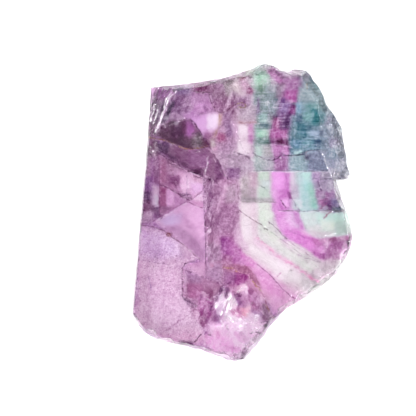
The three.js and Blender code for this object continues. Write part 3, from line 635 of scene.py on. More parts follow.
# %% Smaller patches, lower bands
LOWER_BAND_DETAILS = [
    (box(240, 160, 254, 170), (198, 172, 198), 1.4, 0.75),
    ([(249, 172), (257, 172), (257, 188), (250, 188)], (196, 158, 182), 2.5, 0.75),
    (box(242, 178, 248, 198), (176, 162, 168), 1.4, 0.7),
    ([(241, 197), (276, 198), (276, 202), (241, 202)], (160, 150, 160), 1.0, 0.6),
    ([(258, 171.6), (269, 171.6), (268, 181), (258, 180)], (198, 222, 204), 1.6, 0.8),
    (box(258, 188, 270, 198), (198, 224, 208), 1.6, 0.7),
    ([(261, 180), (270, 180), (270, 189), (262, 188)], (206, 222, 224), 1.2, 0.8),
    ([(272, 172), (285, 172), (284, 190), (274, 188)], (244, 170, 242), 1.4, 0.85),
    (box(285, 172, 290, 196), (212, 128, 208), 1.1, 0.8),
    (box(290, 172, 295, 190), (228, 202, 228), 1.1, 0.8),
    ([(276, 191), (291, 189), (291, 210), (277, 210)], (206, 120, 200), 2.8, 0.75),
    ([(288, 192), (291.6, 192), (292, 199), (289, 199)], (126, 48, 120), 0.8, 0.85),
    ([(280, 199), (288, 198.5), (289, 207), (283, 206.5)], (246, 192, 246), 0.9, 0.95),
    ([(273, 196), (279, 200), (279, 209), (275, 208)], (236, 170, 232), 1.6, 0.7),
    ([(295, 200), (302, 199.5), (303, 208), (299, 208)], (230, 230, 240), 0.9, 0.9),
    ([(303, 171.6), (312, 171.6), (311, 180), (303, 180)], (196, 232, 226), 1.8, 0.75),
    (box(305, 181, 312, 189), (178, 226, 226), 1.8, 0.7),
    ([(291, 185), (299, 185), (299, 198), (292, 198)], (200, 180, 206), 1.8, 0.8),
    ([(308, 181), (314, 186), (318, 208), (309, 209)], (162, 212, 198), 1.6, 0.85),
    ([(312, 172), (320, 172), (320, 182), (313, 182)], (192, 158, 206), 1.1, 0.8),
    (box(320, 172, 330, 178), (166, 156, 178), 1.1, 0.7),
    ([(320, 180), (332, 180), (334, 196), (318, 192)], (184, 166, 196), 1.8, 0.8),
    ([(325, 191), (334, 190), (335, 200), (326, 201)], (170, 116, 176), 1.6, 0.75),
    ([(319, 199), (325, 199), (324, 206), (319, 205)], (178, 90, 158), 1.3, 0.75),
    ([(325, 193), (329, 193), (330, 202), (325, 202)], (150, 76, 140), 1.4, 0.7),
    ([(324, 201), (333, 200), (335, 206), (325, 206.5)], (110, 60, 120), 1.3, 0.8),
    ([(331, 199), (337, 200), (337, 206), (332, 206)], (118, 108, 166), 1.5, 0.7),
    ([(331, 207), (343, 207), (343, 212), (332, 213)], (106, 118, 140), 0.9, 0.85),
    (box(328, 204, 331.5, 212), (84, 36, 90), 0.7, 0.85),
    ([(326, 212), (331, 211), (330, 214), (324, 219), (323, 217)], (186, 112, 160), 1.0, 0.6),
    (box(316, 190, 323, 198), (186, 138, 186), 1.8, 0.75),
    ([(337, 181), (343, 181), (349, 214), (343, 214)], (228, 222, 238), 1.2, 0.8),
    ([(312, 203), (317, 204), (317, 210), (311, 210)], (142, 204, 192), 1.1, 0.75),
    # the bend of the magenta band, and the mint band beside it
    ([(262, 212), (274, 212), (278, 226), (288, 240), (276, 238), (262, 228)], (226, 236, 226), 1.5, 0.8),
    ([(276, 210), (284, 210), (288, 228), (282, 232), (277, 224)], (236, 166, 232), 1.5, 0.85),
    ([(284, 211), (292, 211), (297, 228), (290, 231), (286, 222)], (250, 194, 248), 2.2, 0.8),
    ([(292, 210), (298, 210), (301, 219), (305, 229), (300, 230), (295, 221)], (218, 128, 210), 1.5, 0.85),
    ([(281, 231), (298, 229), (318, 239), (324, 250), (324, 262), (308, 252), (294, 242)],
     (226, 138, 218), 1.3, 0.85),
    ([(284, 240), (293, 242), (303, 247), (311, 252), (323, 263.5), (318, 266), (298, 254)],
     (228, 226, 226), 1.3, 0.9),
    ([(299, 230), (306, 230), (313, 236), (306, 237)], (244, 192, 236), 1.6, 0.75),
    ([(300, 212), (318, 212), (317, 224), (306, 226)], (226, 236, 236), 1.8, 0.85),
    ([(316, 212), (346, 212), (350, 222), (318, 223)], (208, 242, 234), 2.2, 0.85),
    ([(321, 220), (336, 221), (335, 231), (322, 231)], (238, 246, 232), 3.0, 0.8),
    ([(304, 226), (320, 224), (322, 233), (312, 236)], (234, 228, 232), 2.0, 0.8),
    ([(335, 220), (350, 220), (352, 234), (336, 235)], (194, 218, 208), 2.5, 0.8),
    ([(311, 231), (334, 232), (332, 236), (315, 237)], (220, 198, 214), 1.6, 0.8),
    ([(309, 238), (322, 240), (324, 246), (315, 246)], (190, 106, 170), 1.8, 0.8),
    ([(318, 247), (326, 247), (327, 253), (320, 253)], (240, 166, 234), 1.5, 0.8),
    ([(310, 249), (317, 251), (321, 258), (314, 255)], (194, 98, 182), 1.5, 0.8),
    ([(320, 253), (325, 254), (324, 259), (320, 258)], (140, 52, 130), 0.9, 0.85),
    ([(318, 238.5), (352, 235.5), (352, 240), (324, 243)], (182, 108, 160), 1.2, 0.9),
    ([(324, 243), (343, 241), (341, 257), (334, 262), (325, 261)], (192, 128, 182), 2.5, 0.9),
    ([(330, 246), (337, 244), (334, 258), (328, 258)], (178, 108, 168), 2.0, 0.5),
    ([(342, 240), (352, 240), (349, 254), (339, 263)], (196, 154, 190), 2.0, 0.85),
    ([(320, 262), (341, 258), (330, 274), (316, 284), (308, 276)], (206, 180, 200), 3.0, 0.85),
    ([(258, 203), (271, 203), (273, 218), (260, 222)], (228, 238, 228), 1.4, 0.8),
    ([(262, 229), (276, 233), (284, 246), (272, 242)], (230, 236, 226), 1.6, 0.75),
    ([(242, 218), (250, 218), (254, 240), (244, 240)], (246, 236, 244), 1.8, 0.8),
    ([(268, 258), (292, 264), (302, 278), (286, 284), (270, 268)], (250, 240, 248), 2.2, 0.7),
    ([(300, 270), (318, 276), (318, 288), (304, 292)], (212, 206, 214), 2.5, 0.65),
    ([(303, 271), (306, 271), (314, 278), (311, 280)], (236, 158, 200), 1.4, 0.5),
    ([(262, 266), (270, 276), (282, 296), (276, 304), (262, 284), (254, 272)], (238, 168, 226), 2, 0.7),
    ([(268, 296), (286, 300), (284, 310), (272, 314)], (246, 190, 238), 1.8, 0.75),
]

# %% Smaller patches, lower left and bottom
BOTTOM_DETAILS = [
    ([(139, 230), (160, 233), (176, 244), (182, 256), (160, 260), (138, 256)], (218, 178, 230), 4, 0.6),
    ([(160, 238), (178, 244), (182, 256), (166, 256)], (232, 200, 240), 3.5, 0.55),
    ([(130, 240), (139, 230), (139, 300), (132, 322)], (196, 146, 194), 2, 0.7),
    ([(146, 268), (178, 270), (178, 296), (148, 300)], (232, 186, 226), 4, 0.6),
    ([(152, 298), (186, 300), (196, 316), (176, 330), (152, 322)], (238, 200, 234), 4, 0.7),
    ([(150, 334), (176, 334), (204, 334), (202, 344), (170, 345)], (222, 168, 210), 2.5, 0.8),
    ([(178, 341), (194, 341.5), (193, 346), (180, 345.5)], (66, 26, 66), 1.0, 0.85),
    ([(166, 232), (172, 234), (171, 237), (166, 236)], (112, 44, 62), 0.8, 0.9),
    ([(190, 303), (206, 300), (206, 326), (199, 324), (192, 317)], (184, 122, 168), 2.2, 0.85),
    ([(182, 296), (190, 299), (197, 305), (194, 309), (186, 304)], (146, 104, 144), 1.4, 0.6),
    # a painted highlight along a facet's edge
    ([(184.5, 270), (187, 270.5), (186, 292), (184, 292)], (238, 206, 238), 0.7, 0.75),
    ([(186, 268), (203, 277), (200, 284), (187, 280)], (162, 112, 162), 1.4, 0.8),
    ([(186, 284), (202, 285), (202, 297), (190, 299)], (172, 94, 150), 1.8, 0.75),
    ([(207, 262), (222, 264), (221, 283), (206, 276)], (188, 144, 188), 1.6, 0.8),
    (box(210, 263.5, 213.5, 267), (208, 120, 160), 0.9, 0.8),
    ([(235, 272), (249, 274), (246, 284), (238, 289), (233, 284)], (152, 54, 132), 1.5, 0.9),
    ([(224, 270), (236, 274), (234, 284), (224, 284)], (170, 106, 166), 1.6, 0.75),
    ([(221, 287), (224, 289), (218, 301), (214, 301)], (98, 42, 98), 0.9, 0.85),
    ([(226, 287), (228.6, 288), (227, 299), (224, 298)], (84, 34, 84), 0.8, 0.85),
    ([(198, 296), (214, 298), (210, 318), (200, 318)], (170, 84, 154), 1.8, 0.85),
    ([(200, 294), (204, 295), (203, 299), (200, 299)], (116, 52, 112), 0.9, 0.8),
    ([(209, 306), (213, 306), (212, 311), (209, 311)], (118, 54, 114), 0.9, 0.8),
    ([(200, 318), (206, 318), (206, 328), (202, 327)], (184, 110, 170), 1.6, 0.6),
    ([(214, 304), (222, 293), (226, 301), (224, 314), (217, 316)], (234, 208, 236), 1.6, 0.75),
    ([(228, 294), (234, 298), (231, 312), (226, 320), (226, 304)], (232, 206, 226), 1.6, 0.8),
    ([(230, 287), (241, 286), (242, 294), (233, 296)], (232, 182, 216), 2.0, 0.8),
    ([(226, 313), (238, 318), (236, 326), (226, 324)], (246, 224, 246), 1.8, 0.8),
    ([(234, 294), (242, 294), (241, 299), (235, 299)], (140, 72, 132), 1.0, 0.8),
    ([(231, 309), (244, 311), (243, 316), (231, 315)], (196, 98, 166), 1.0, 0.8),
    ([(240, 308), (250, 308), (249, 318), (241, 318)], (238, 168, 198), 1.2, 0.85),
    ([(236, 286), (246, 282), (248, 290), (238, 293)], (240, 204, 228), 1.1, 0.8),
    ([(246, 286), (256, 290), (262, 304), (250, 304)], (196, 130, 182), 1.6, 0.8),
    ([(250, 302), (263, 303), (262, 312), (252, 311)], (176, 108, 158), 1.3, 0.75),
    ([(261, 302), (268, 306), (272, 322), (262, 320)], (162, 122, 152), 1.4, 0.8),
    ([(206, 324), (232, 322), (250, 318), (256, 330), (246, 346), (214, 346)], (250, 210, 248), 3, 0.75),
    ([(212, 331), (221, 331), (220, 338), (213, 338)], (236, 162, 216), 1.3, 0.8),
    ([(204, 338), (248, 342), (240, 354), (216, 352)], (244, 198, 238), 2, 0.7),
    ([(246, 340), (254, 334), (262, 336), (250, 350), (243, 354)], (212, 176, 212), 1.5, 0.8),
    ([(230, 353), (244, 352), (248, 356), (240, 363), (230, 361)], (184, 154, 190), 1.5, 0.8),
    ([(256, 322), (264, 322), (268, 326), (262, 332), (256, 330)], (226, 172, 220), 1.5, 0.7),
    # a paler foot, and the paler nose at its right
    ([(176, 328), (206, 330), (232, 336), (238, 352), (214, 354), (180, 343)], (255, 206, 242), 4, 0.4),
    ([(246, 336), (256, 324), (264, 328), (256, 342), (248, 350)], (240, 206, 238), 3, 0.5),
    # and paler glass along the broken edge at the upper right
    ([(272, 66), (284, 70), (284, 80), (272, 78)], (218, 182, 222), 3, 0.6),
    ([(298, 76), (312, 84), (326, 100), (324, 110), (312, 100), (300, 88)], (190, 205, 218), 3, 0.7),
    ([(330, 160), (344, 160), (346, 174), (330, 176)], (206, 204, 224), 3, 0.6),
    # the bright pink field below the white strokes
    ([(210, 318), (226, 326), (240, 316), (262, 322), (266, 333), (250, 342), (222, 340), (208, 332)],
     (255, 208, 246), 2.5, 0.5),
    ([(238, 318), (254, 314), (266, 326), (256, 336), (242, 332)], (252, 220, 248), 2.5, 0.5),
    ([(206, 336), (240, 338), (246, 352), (232, 360), (210, 352)], (255, 188, 246), 3, 0.65),
    ([(226, 292), (231, 292), (236, 310), (238, 320), (228, 330), (226, 314), (229, 304)],
     (244, 222, 238), 1.5, 0.35),
]

# %% [markdown]
# Lines run through points. A dark line is an open crack, or painted shade along the edge of a
# facet or a step, and a yellow one is iron stain in a crack. Each has a colour, a width in squares,
# and how strongly it covers.

# %% Cracks, edges and stains
LINES = [
    # painted shade along edges, and dark cracks
    ([(208.7, 94.6), (212.3, 104.6), (216.6, 111), (220.9, 112.4), (226.6, 111), (232.3, 106.7),
      (236.6, 103.9)], (100, 46, 79), 0.6, 0.9),
    ([(189, 118.6), (195.5, 124.3), (201.2, 133.6), (209.4, 146), (213.7, 154.3), (219.6, 164.3),
      (224, 174.6), (229, 180)], (88, 39, 83), 0.5, 0.9),
    ([(230.9, 151.7), (239.5, 153), (247, 156.5), (252.5, 159.5)], (124, 86, 117), 0.5, 0.8),
    ([(253, 153), (258.5, 156.5), (262, 158), (267, 160), (273, 160), (276.5, 158.5), (281, 155.5),
      (290, 155), (299, 155.5), (303, 154), (309, 151), (321.5, 149.5)], (78, 58, 95), 0.5, 0.85),
    # painted shade along the ledge and the steps of the front
    ([(255, 170.8), (328, 170.8)], (98, 88, 117), 0.45, 0.75),
    ([(313, 178.6), (351, 179.2)], (112, 102, 131), 0.5, 0.7),
    ([(241, 201.6), (256, 202.2), (275, 202)], (150, 140, 140), 0.5, 0.6),
    ([(278, 210.6), (300, 211), (343, 210.6)], (112, 106, 117), 0.5, 0.7),
    ([(157, 152.2), (170.5, 160), (182, 167.2), (190.5, 172), (203.4, 177), (214, 183)],
     (86, 40, 79), 0.6, 0.9),
    ([(158.5, 184), (169.5, 188.5), (181, 195.5), (189.4, 200)], (108, 51, 94), 0.55, 0.85),
    ([(204.2, 174), (204.2, 200), (205.6, 232), (206, 264)], (122, 66, 116), 0.5, 0.8),
    ([(153.5, 221.5), (165, 214), (189, 200), (202.5, 192)], (135, 69, 121), 0.4, 0.6),
    ([(187, 201.5), (202.5, 208)], (143, 70, 126), 0.4, 0.7),
    ([(238.2, 184), (238.2, 213)], (133, 79, 119), 0.5, 0.6),
    ([(140, 225), (152, 226), (163, 230), (168, 234), (174, 238.5), (185, 245.5), (193, 253), (200, 259)],
     (126, 69, 108), 0.55, 0.8),
    ([(200, 259), (191, 262), (185, 263.5), (182.5, 268), (182.4, 297), (188.5, 301.5)],
     (106, 51, 101), 0.6, 0.85),
    ([(185, 269.8), (202.5, 276.6), (223, 285.3)], (114, 55, 104), 0.4, 0.7),
    ([(142, 260), (153.5, 262.5), (166.5, 264.5)], (170, 124, 172), 0.4, 0.7),
    ([(240, 210.5), (252.5, 220), (262, 224.5)], (122, 84, 99), 0.45, 0.8),
    ([(269, 222), (274, 226), (278, 230), (283, 235), (287, 239.4)], (94, 58, 86), 0.5, 0.85),
    ([(287, 239.4), (297, 247.5), (308, 254.6), (320.5, 262)], (168, 130, 160), 0.4, 0.5),
    ([(257, 264), (267, 272), (275, 280), (282, 289), (291, 296), (295.5, 299)], (129, 49, 113), 0.5, 0.85),
    ([(223, 268), (233, 268.5), (236.5, 272), (247.5, 274), (252, 280), (258, 288), (264.5, 298),
      (268, 308.5), (274, 319.5)], (153, 81, 117), 0.6, 0.85),
    ([(194, 342), (201, 334.5)], (78, 35, 76), 0.7, 0.9),
    ([(183, 343), (192, 344)], (82, 39, 81), 0.8, 0.8),
    ([(298, 255), (322, 263)], (150, 120, 150), 0.4, 0.5),
    ([(191, 90.5), (197, 91.6), (209, 92.6)], (96, 70, 90), 0.8, 0.7),
    ([(159.6, 158), (159.6, 186), (159.6, 212)], (128, 62, 112), 0.8, 0.75),
    ([(144.4, 150), (143, 176), (141.6, 206)], (150, 110, 150), 0.8, 0.5),
    ([(186.6, 176), (187.4, 186), (186, 195)], (150, 106, 160), 0.7, 0.7),
    ([(188, 171.6), (196, 173.4), (203, 176)], (80, 34, 76), 1.2, 0.8),
    ([(181, 194.6), (190, 195), (191, 199)], (110, 66, 108), 0.7, 0.8),
    ([(208, 178.6), (214, 180.4), (218, 183.6)], (92, 44, 88), 0.9, 0.75),
    ([(259, 186), (264, 188), (268, 192), (272, 193)], (136, 152, 148), 0.8, 0.75),
    ([(281, 200), (283, 204), (285.4, 207)], (128, 48, 118), 0.9, 0.85),
    ([(290.6, 194), (293, 200), (296, 206), (300, 210)], (150, 110, 150), 0.5, 0.6),
    ([(317.6, 181), (319, 185), (321, 190.6)], (96, 60, 116), 0.9, 0.8),
    ([(320, 209), (323, 206), (327, 203)], (170, 36, 104), 0.9, 0.85),
    ([(324, 218), (327, 214.6), (331, 212)], (158, 54, 100), 0.8, 0.8),
    ([(339, 206), (340.6, 209), (344, 210)], (70, 76, 100), 0.9, 0.8),
    ([(290, 231), (298, 234), (306, 238.6)], (176, 116, 172), 0.6, 0.5),
    ([(262, 225), (264, 228), (268, 230)], (118, 110, 116), 0.9, 0.7),
    ([(258, 238), (264, 244), (270, 249), (280, 257), (290, 263), (300, 270), (310, 277), (318, 281)],
     (240, 172, 214), 5.0, 0.9),
    ([(306, 274), (310, 277), (314, 279)], (226, 140, 186), 2.0, 0.7),
    ([(270, 272), (276, 278), (281, 273)], (214, 140, 192), 0.7, 0.7),
    ([(283, 155.4), (292, 155.6), (300, 155.4)], (44, 50, 74), 1.1, 0.8),
    ([(299, 153.6), (306, 151), (313, 149.8), (321, 149.6)], (52, 84, 106), 1.2, 0.8),
    ([(303, 137.4), (310, 137), (316, 137.6)], (84, 112, 138), 0.8, 0.7),
    ([(273, 160), (277, 158.6), (280, 155.6)], (84, 28, 78), 1.0, 0.85),
    ([(254, 153), (257, 157), (262, 158), (265, 160.6)], (118, 124, 124), 0.8, 0.7),
    ([(231, 151), (240, 153.6), (248, 156), (253, 159)], (128, 102, 132), 1.2, 0.75),
    ([(192, 134), (198, 132.6), (203, 137)], (84, 60, 82), 0.8, 0.75),
    ([(160, 334), (178, 322), (196, 309)], (184, 126, 172), 1.2, 0.6),
    ([(148.6, 277), (150, 282), (151, 290)], (166, 124, 184), 0.8, 0.6),
    ([(208, 335.4), (211, 335.8)], (90, 48, 86), 0.9, 0.8),
    ([(226, 326), (228, 329.6)], (92, 54, 92), 0.9, 0.75),
    ([(250, 334), (254, 332), (258, 332.6)], (84, 52, 92), 0.9, 0.8),
    ([(260, 333), (262, 334.6)], (92, 60, 100), 1.1, 0.8),
    ([(222, 288), (227, 284), (231, 282)], (110, 52, 106), 0.9, 0.75),
    ([(236, 297), (240, 296), (242, 294)], (110, 46, 100), 1.0, 0.8),
    ([(184, 299), (190, 302), (196, 306)], (104, 74, 106), 1.0, 0.7),
    # iron stain
    ([(148, 137.4), (156.6, 138.9), (165.1, 140.3), (175.1, 144.6), (185.1, 148.9), (192.3, 149.2),
      (202.3, 147.6), (208, 146)], (164, 118, 84), 0.6, 0.85),
    ([(236.6, 104), (242.3, 102.6), (246.4, 104.6), (245, 107.4), (239, 107.6)], (158, 130, 80), 0.6, 0.8),
    ([(219.8, 114), (218.6, 127), (214.6, 137)], (182, 140, 120), 0.8, 0.75),
    ([(223, 268), (233, 268.6), (237, 272)], (184, 140, 80), 0.8, 0.8),
    ([(252, 280), (258, 288), (262, 292)], (176, 132, 70), 0.9, 0.85),
    ([(264, 304), (270, 313)], (170, 130, 90), 0.7, 0.6),
    ([(168, 233), (170, 235.5)], (128, 70, 70), 1.2, 0.85),
    ([(306.5, 84), (307.2, 89)], (200, 178, 158), 1.4, 0.7),
    ([(238, 122.6), (256, 122.8)], (176, 116, 134), 0.5, 0.85),
]

# %% [markdown]
# Slivers are thin splinters that lift off the surface: the shader gives them a white film, and
# the white laid into their colour is painted glints. They have points, a width and a strength. In
# the lower field many fine ones lie like feathers, so chance lays those out.
# It works from a fixed seed, so every run lays them the same way.

# %% Pale slivers
GLINT_SLIVERS = [
    ([(176, 91.6), (169, 98), (165.6, 106), (162, 114)], 1.0, 0.9),
    ([(172, 90.8), (167, 99), (163.6, 107)], 0.8, 0.7),
    ([(166.6, 108), (161.6, 118), (156.6, 128)], 0.9, 0.8),
    ([(163, 112), (159, 121), (155, 131)], 0.8, 0.6),
    ([(151, 101), (150.6, 108), (149.4, 114)], 0.9, 0.8),
    ([(154.6, 105), (153, 113), (150, 121)], 0.9, 0.8),
    ([(157.6, 109), (156, 116), (153, 124)], 0.8, 0.7),
    ([(160.6, 121), (158, 128), (154.6, 133)], 0.8, 0.6),
    ([(147.4, 139.6), (147.6, 141)], 0.8, 0.4),
    ([(149.6, 146), (150.6, 147)], 0.8, 0.35),
    ([(152.6, 150.4), (153.2, 151.6)], 0.9, 0.45),
    ([(207.6, 157.4), (206.4, 166), (205, 175)], 0.7, 0.45),
    ([(321, 149.5), (328.4, 169), (332.8, 180), (337, 195), (341, 208), (352.6, 233)], 0.4, 0.3),
    ([(337, 163), (333.4, 177)], 0.4, 0.4),
    ([(342, 161), (338, 177)], 0.4, 0.4),
    ([(344, 150), (347, 164), (348, 172)], 0.4, 0.35),
    ([(256, 171.9), (328, 171.9)], 0.4, 0.22),
    ([(279.4, 157.6), (280.4, 158.8)], 0.7, 0.6),
    ([(211, 204), (213, 205)], 0.8, 0.35),
    ([(345, 176), (350, 178)], 1.0, 0.4),
    ([(338, 129), (341, 132)], 0.6, 0.3),
    ([(337, 142), (342, 143)], 0.6, 0.3),
    ([(231, 293), (229, 303), (226, 312), (224, 320)], 1.6, 0.6),
    ([(223.6, 292), (220, 300), (216, 308)], 0.9, 0.55),
    ([(227, 299), (224, 306), (221, 315)], 1.0, 0.55),
    ([(234, 300), (231, 308)], 1.0, 0.5),
    ([(229, 316), (233, 322)], 1.3, 0.45),
    ([(238, 291), (246, 286)], 1.0, 0.4),
    ([(219, 318), (223, 324), (222, 330)], 0.8, 0.35),
    ([(207, 299), (211, 301)], 0.8, 0.35),
]
FEATHER_SEED = 41
FEATHER_WIDTH = 0.4
FEATHER_LENGTHS = (1.8, 5.2)
FEATHER_STRENGTHS = (0.2, 0.5)
FEATHER_SWAY = 18
# corner of the area, its width and height, the lean in degrees, and how many
FEATHER_AREAS = [
    ((214, 293), 12, 16, 122, 8),
    ((226, 292), 11, 38, 110, 15),
    ((236, 312), 26, 22, 36, 22),
]
chance = random.Random(FEATHER_SEED)
for (left, top), wide, tall, lean, many in FEATHER_AREAS:
    for number in range(many):
        x = left + chance.uniform(0, wide)
        y = top + chance.uniform(0, tall)
        turn = math.radians(lean + chance.uniform(-FEATHER_SWAY, FEATHER_SWAY))
        half = chance.uniform(*FEATHER_LENGTHS) / 2
        dx, dy = half * math.cos(turn), -half * math.sin(turn)
        strength = chance.uniform(*FEATHER_STRENGTHS)
        GLINT_SLIVERS.append(([(x - dx, y - dy), (x + dx, y + dy)], FEATHER_WIDTH, strength))
print("slivers:", len(GLINT_SLIVERS))

# %% [markdown]
# The last areas have no colour. They say where the stone has level strokes, shards or specks,
# where it is clear, and where its surface is hackly. Each has corners, softness and strength.

# %% Where the stone has strokes, shards and specks
STROKES = [
    ([(254, 76), (322, 84), (324, 152), (300, 156), (254, 158)], 3, 1.0),
    ([(238, 122), (256, 122), (256, 156), (238, 154)], 2, 0.6),
    ([(254, 156), (328, 152), (330, 171), (254, 171)], 2, 0.35),
    ([(256, 171), (334, 171), (340, 210), (256, 204)], 2, 0.25),
]
SHARDS = [
    ([(196, 290), (262, 282), (266, 330), (250, 362), (200, 345)], 4, 1.0),
    ([(143, 84), (176, 84), (172, 118), (156, 142), (140, 142)], 3, 0.5),
    ([(222, 78), (258, 78), (256, 112), (222, 112)], 3, 0.6),
    ([(262, 64), (302, 64), (300, 150), (264, 150)], 4, 0.6),
    ([(296, 76), (346, 110), (352, 182), (322, 152), (318, 100)], 3, 0.8),
    ([(204, 174), (213, 180), (216, 264), (205, 266)], 1.5, 1.0),
    ([(191, 133), (201, 133), (207, 146), (192, 147)], 1, 0.4),
    ([(172, 172), (203, 176), (202, 196), (176, 190)], 3, 0.6),
    (box(140, 136, 158, 184), 2, 0.5),
    ([(322, 240), (356, 232), (352, 268), (300, 300), (250, 350), (236, 362), (262, 326), (310, 278)],
     2.5, 0.8),
]
SPECKS = [
    ([(134, 226), (163, 230), (200, 259), (184, 298), (206, 320), (200, 342), (150, 332), (130, 316)],
     2, 1.0),
    ([(244, 204), (300, 210), (352, 240), (300, 300), (262, 262)], 4, 0.45),
    ([(206, 322), (262, 318), (250, 360), (206, 345)], 3, 0.7),
    ([(320, 100), (346, 130), (350, 180), (326, 150)], 3, 0.8),
]
CLEAR = [
    ([(154, 221), (202.8, 192), (205, 265)], 1, 0.9),
    ([(190.9, 118.1), (213.7, 111.7), (220.1, 113.9), (219.4, 123.1), (209, 139), (202.3, 131.7)], 1, 0.9),
    ([(157, 134), (171, 121), (189, 119), (201, 134), (191, 140), (191, 149), (165, 140)], 1, 0.9),
    ([(157, 143), (192, 150), (208, 149), (225, 177), (216, 182), (182, 166)], 1, 0.7),
    ([(157, 152), (203, 177), (203, 192), (154, 221)], 1.5, 0.5),
    ([(182.5, 269), (223, 285), (214, 299), (190, 301)], 1, 0.6),
    ([(187, 265), (207, 260), (205, 277)], 1, 0.7),
    ([(256, 171), (312, 171), (316, 210), (350, 212), (352, 238), (300, 300), (240, 240), (242, 203)],
     3, 0.7),
    ([(234, 124), (253, 124), (254, 158), (238, 154)], 2, 0.5),
    ([(236, 284), (252, 278), (290, 300), (276, 320)], 3, 0.5),
]
HACKLE = [
    ([(322, 236), (358, 230), (356, 268), (300, 304), (250, 356), (232, 368), (226, 360), (262, 326),
      (300, 290), (338, 262)], 2, 1.0),
    ([(196, 292), (262, 286), (266, 330), (250, 362), (200, 345)], 3, 0.55),
    ([(296, 66), (350, 110), (358, 184), (334, 184), (322, 150), (318, 100), (296, 80)], 3, 0.35),
    ([(222, 60), (300, 58), (304, 82), (222, 96)], 4, 0.7),
    ([(143, 80), (178, 80), (172, 118), (156, 142), (140, 142)], 3, 0.3),
    ([(204, 174), (213, 180), (216, 264), (205, 266)], 1.5, 0.6),
    ([(120, 318), (150, 326), (186, 340), (216, 352), (232, 370), (180, 370), (120, 340)], 2, 0.6),
]
DETAILS = UPPER_LEFT_DETAILS + LEFT_DETAILS + UPPER_BAND_DETAILS + LOWER_BAND_DETAILS + BOTTOM_DETAILS
print("patches:", len(BAND_PATCHES + PURPLE_AREAS + DETAILS), "lines:", len(LINES))

# %% [markdown]
# ## Reading the drawing
# Some numbers say how a point of the slab relates to the drawing: how far across and down it
# lies, and how deep under the front. Smooth noise pushes the marks about a little, so that none
# has the clean edge of a drawn line. The noise gets a fixed seed, because without one it would
# be different at each run.

# %% The drawing
NOISE_SEED = 12
DRAWING_X = 242.5
DRAWING_Y = 212.5
CRISP = 1.0
VERY_SOFT = 4.0
LINE_SOFTNESS = 1.5

noise.seed_set(NOISE_SEED)


def smooth(value, start, end):
    """0 where value is at start, 1 at end, and smooth between them."""
    share = np.clip((value - start) / (end - start), 0, 1)
    return share * share * (3 - 2 * share)


def to_segment(x, y, start, end):
    """How far each point lies from a straight piece of line."""
    run = (end[0] - start[0], end[1] - start[1])
    along = ((x - start[0]) * run[0] + (y - start[1]) * run[1]) / (run[0] ** 2 + run[1] ** 2)
    along = np.clip(along, 0, 1)
    return np.hypot(x - start[0] - along * run[0], y - start[1] - along * run[1])


def to_line(x, y, points):
    """How far each point lies from a line through some others."""
    pieces = [to_segment(x, y, start, end) for start, end in zip(points, points[1:])]
    return np.min(pieces, axis=0)


def is_within(x, y, corners):
    """Whether each point lies inside some corners: it crosses their edges an odd number of times."""
    within = np.zeros(len(x), bool)
    for start, end in zip(corners, corners[1:] + corners[:1]):
        if start[1] != end[1]:
            crossing = start[0] + (y - start[1]) * (end[0] - start[0]) / (end[1] - start[1])
            within ^= ((start[1] > y) != (end[1] > y)) & (x < crossing)
    return within


class Drawing:
    """The marks, read at some points of the slab that are given in mm."""

    def __init__(self, places):
        self.places = places
        self.across = DRAWING_X + places[:, 0] / SQUARE
        self.down = DRAWING_Y - places[:, 1] / SQUARE
        self.depth = high.z / MM - places[:, 2]
        self.ragged = self.wander(1.6, 1, 0.9) + self.wander(0.6, 2, 0.4)
        self.swaying = self.wander(6.0, 3, 1.5)
        self.jagged = self.wander(0.35, 5, 0.8)
        self.broken, self.patchy = self.wander(1.1, 4, 1.6).T
        self.bend(CRISP)

    def wander(self, scale, number, strength):
        """Two smooth random values a point, up to about strength, that change over scale mm."""
        shift = Vector((number * 7.3, number * 3.1, number * 5.7))
        flat = Vector((1, 1, 0.4)) / scale
        values = [noise.noise_vector(Vector(p) * flat + shift)[:2] for p in self.places]
        return np.array(values) * strength

    def bend(self, soft):
        """Crisp marks stay nearly where they are drawn, and soft ones wander."""
        drift = min(soft, VERY_SOFT) - CRISP
        ragged = self.ragged * (0.5 + 0.3 * drift)
        self.x = self.across + ragged[:, 0] + self.swaying[:, 0] * drift * 0.7
        self.y = self.down + ragged[:, 1] + self.swaying[:, 1] * drift * 0.7

    def around(self, points, margin):
        """Which points of the slab lie in the box around some points of the drawing."""
        (left, top), (right, bottom) = np.min(points, 0) - margin, np.max(points, 0) + margin
        return np.flatnonzero((self.x > left) & (self.x < right) & (self.y > top) & (self.y < bottom))

    def inside(self, corners, soft=1.0):
        """1 inside the corners and 0 outside, over a soft edge."""
        self.bend(max(soft, CRISP))
        shares = np.zeros(len(self.x))
        near = self.around(corners, soft * 2)
        x, y = self.x[near], self.y[near]
        nearest = to_line(x, y, corners + corners[:1])
        signed = np.where(is_within(x, y, corners), nearest, -nearest)
        signed += self.broken[near] * min(soft, 2) * 0.5
        shares[near] = smooth(signed, -soft, soft)
        return shares

    def near(self, points, wide=0.6, soft=0.6):
        """1 on a line through the points, and 0 beyond its half width and soft edge."""
        self.bend(LINE_SOFTNESS)
        shares = np.zeros(len(self.x))
        close = self.around(points, 4)
        x, y = self.x[close] + self.jagged[close, 0], self.y[close] + self.jagged[close, 1]
        uneven = 0.5 + smooth(self.patchy[close], -0.6, 0.6)
        shares[close] = 1 - smooth(to_line(x, y, points), wide * uneven, wide * uneven + soft)
        return shares

    def mask(self, areas):
        """The strongest of the areas at each point."""
        return np.max([self.inside(corners, soft) * share for corners, soft, share in areas], axis=0)


# %% [markdown]
# ## Close points
# The facets are flat and need no more points for their shape, but the relief of the breaks
# and the colours are both kept at the mesh's points. So long edges are halved, again and
# again, until the points are close, and closest of all along the cracks.


# %% Close points
FRONT_SPACING = 0.6
SIDE_SPACING = 1.25
LINE_SPACING = 0.3
NEAR_LINE = 1.3
FRONT_RISE = 0.25
LEVEL_RISE = 0.8
SAME_FACET = 0.02
LINE_ROUNDS = 3


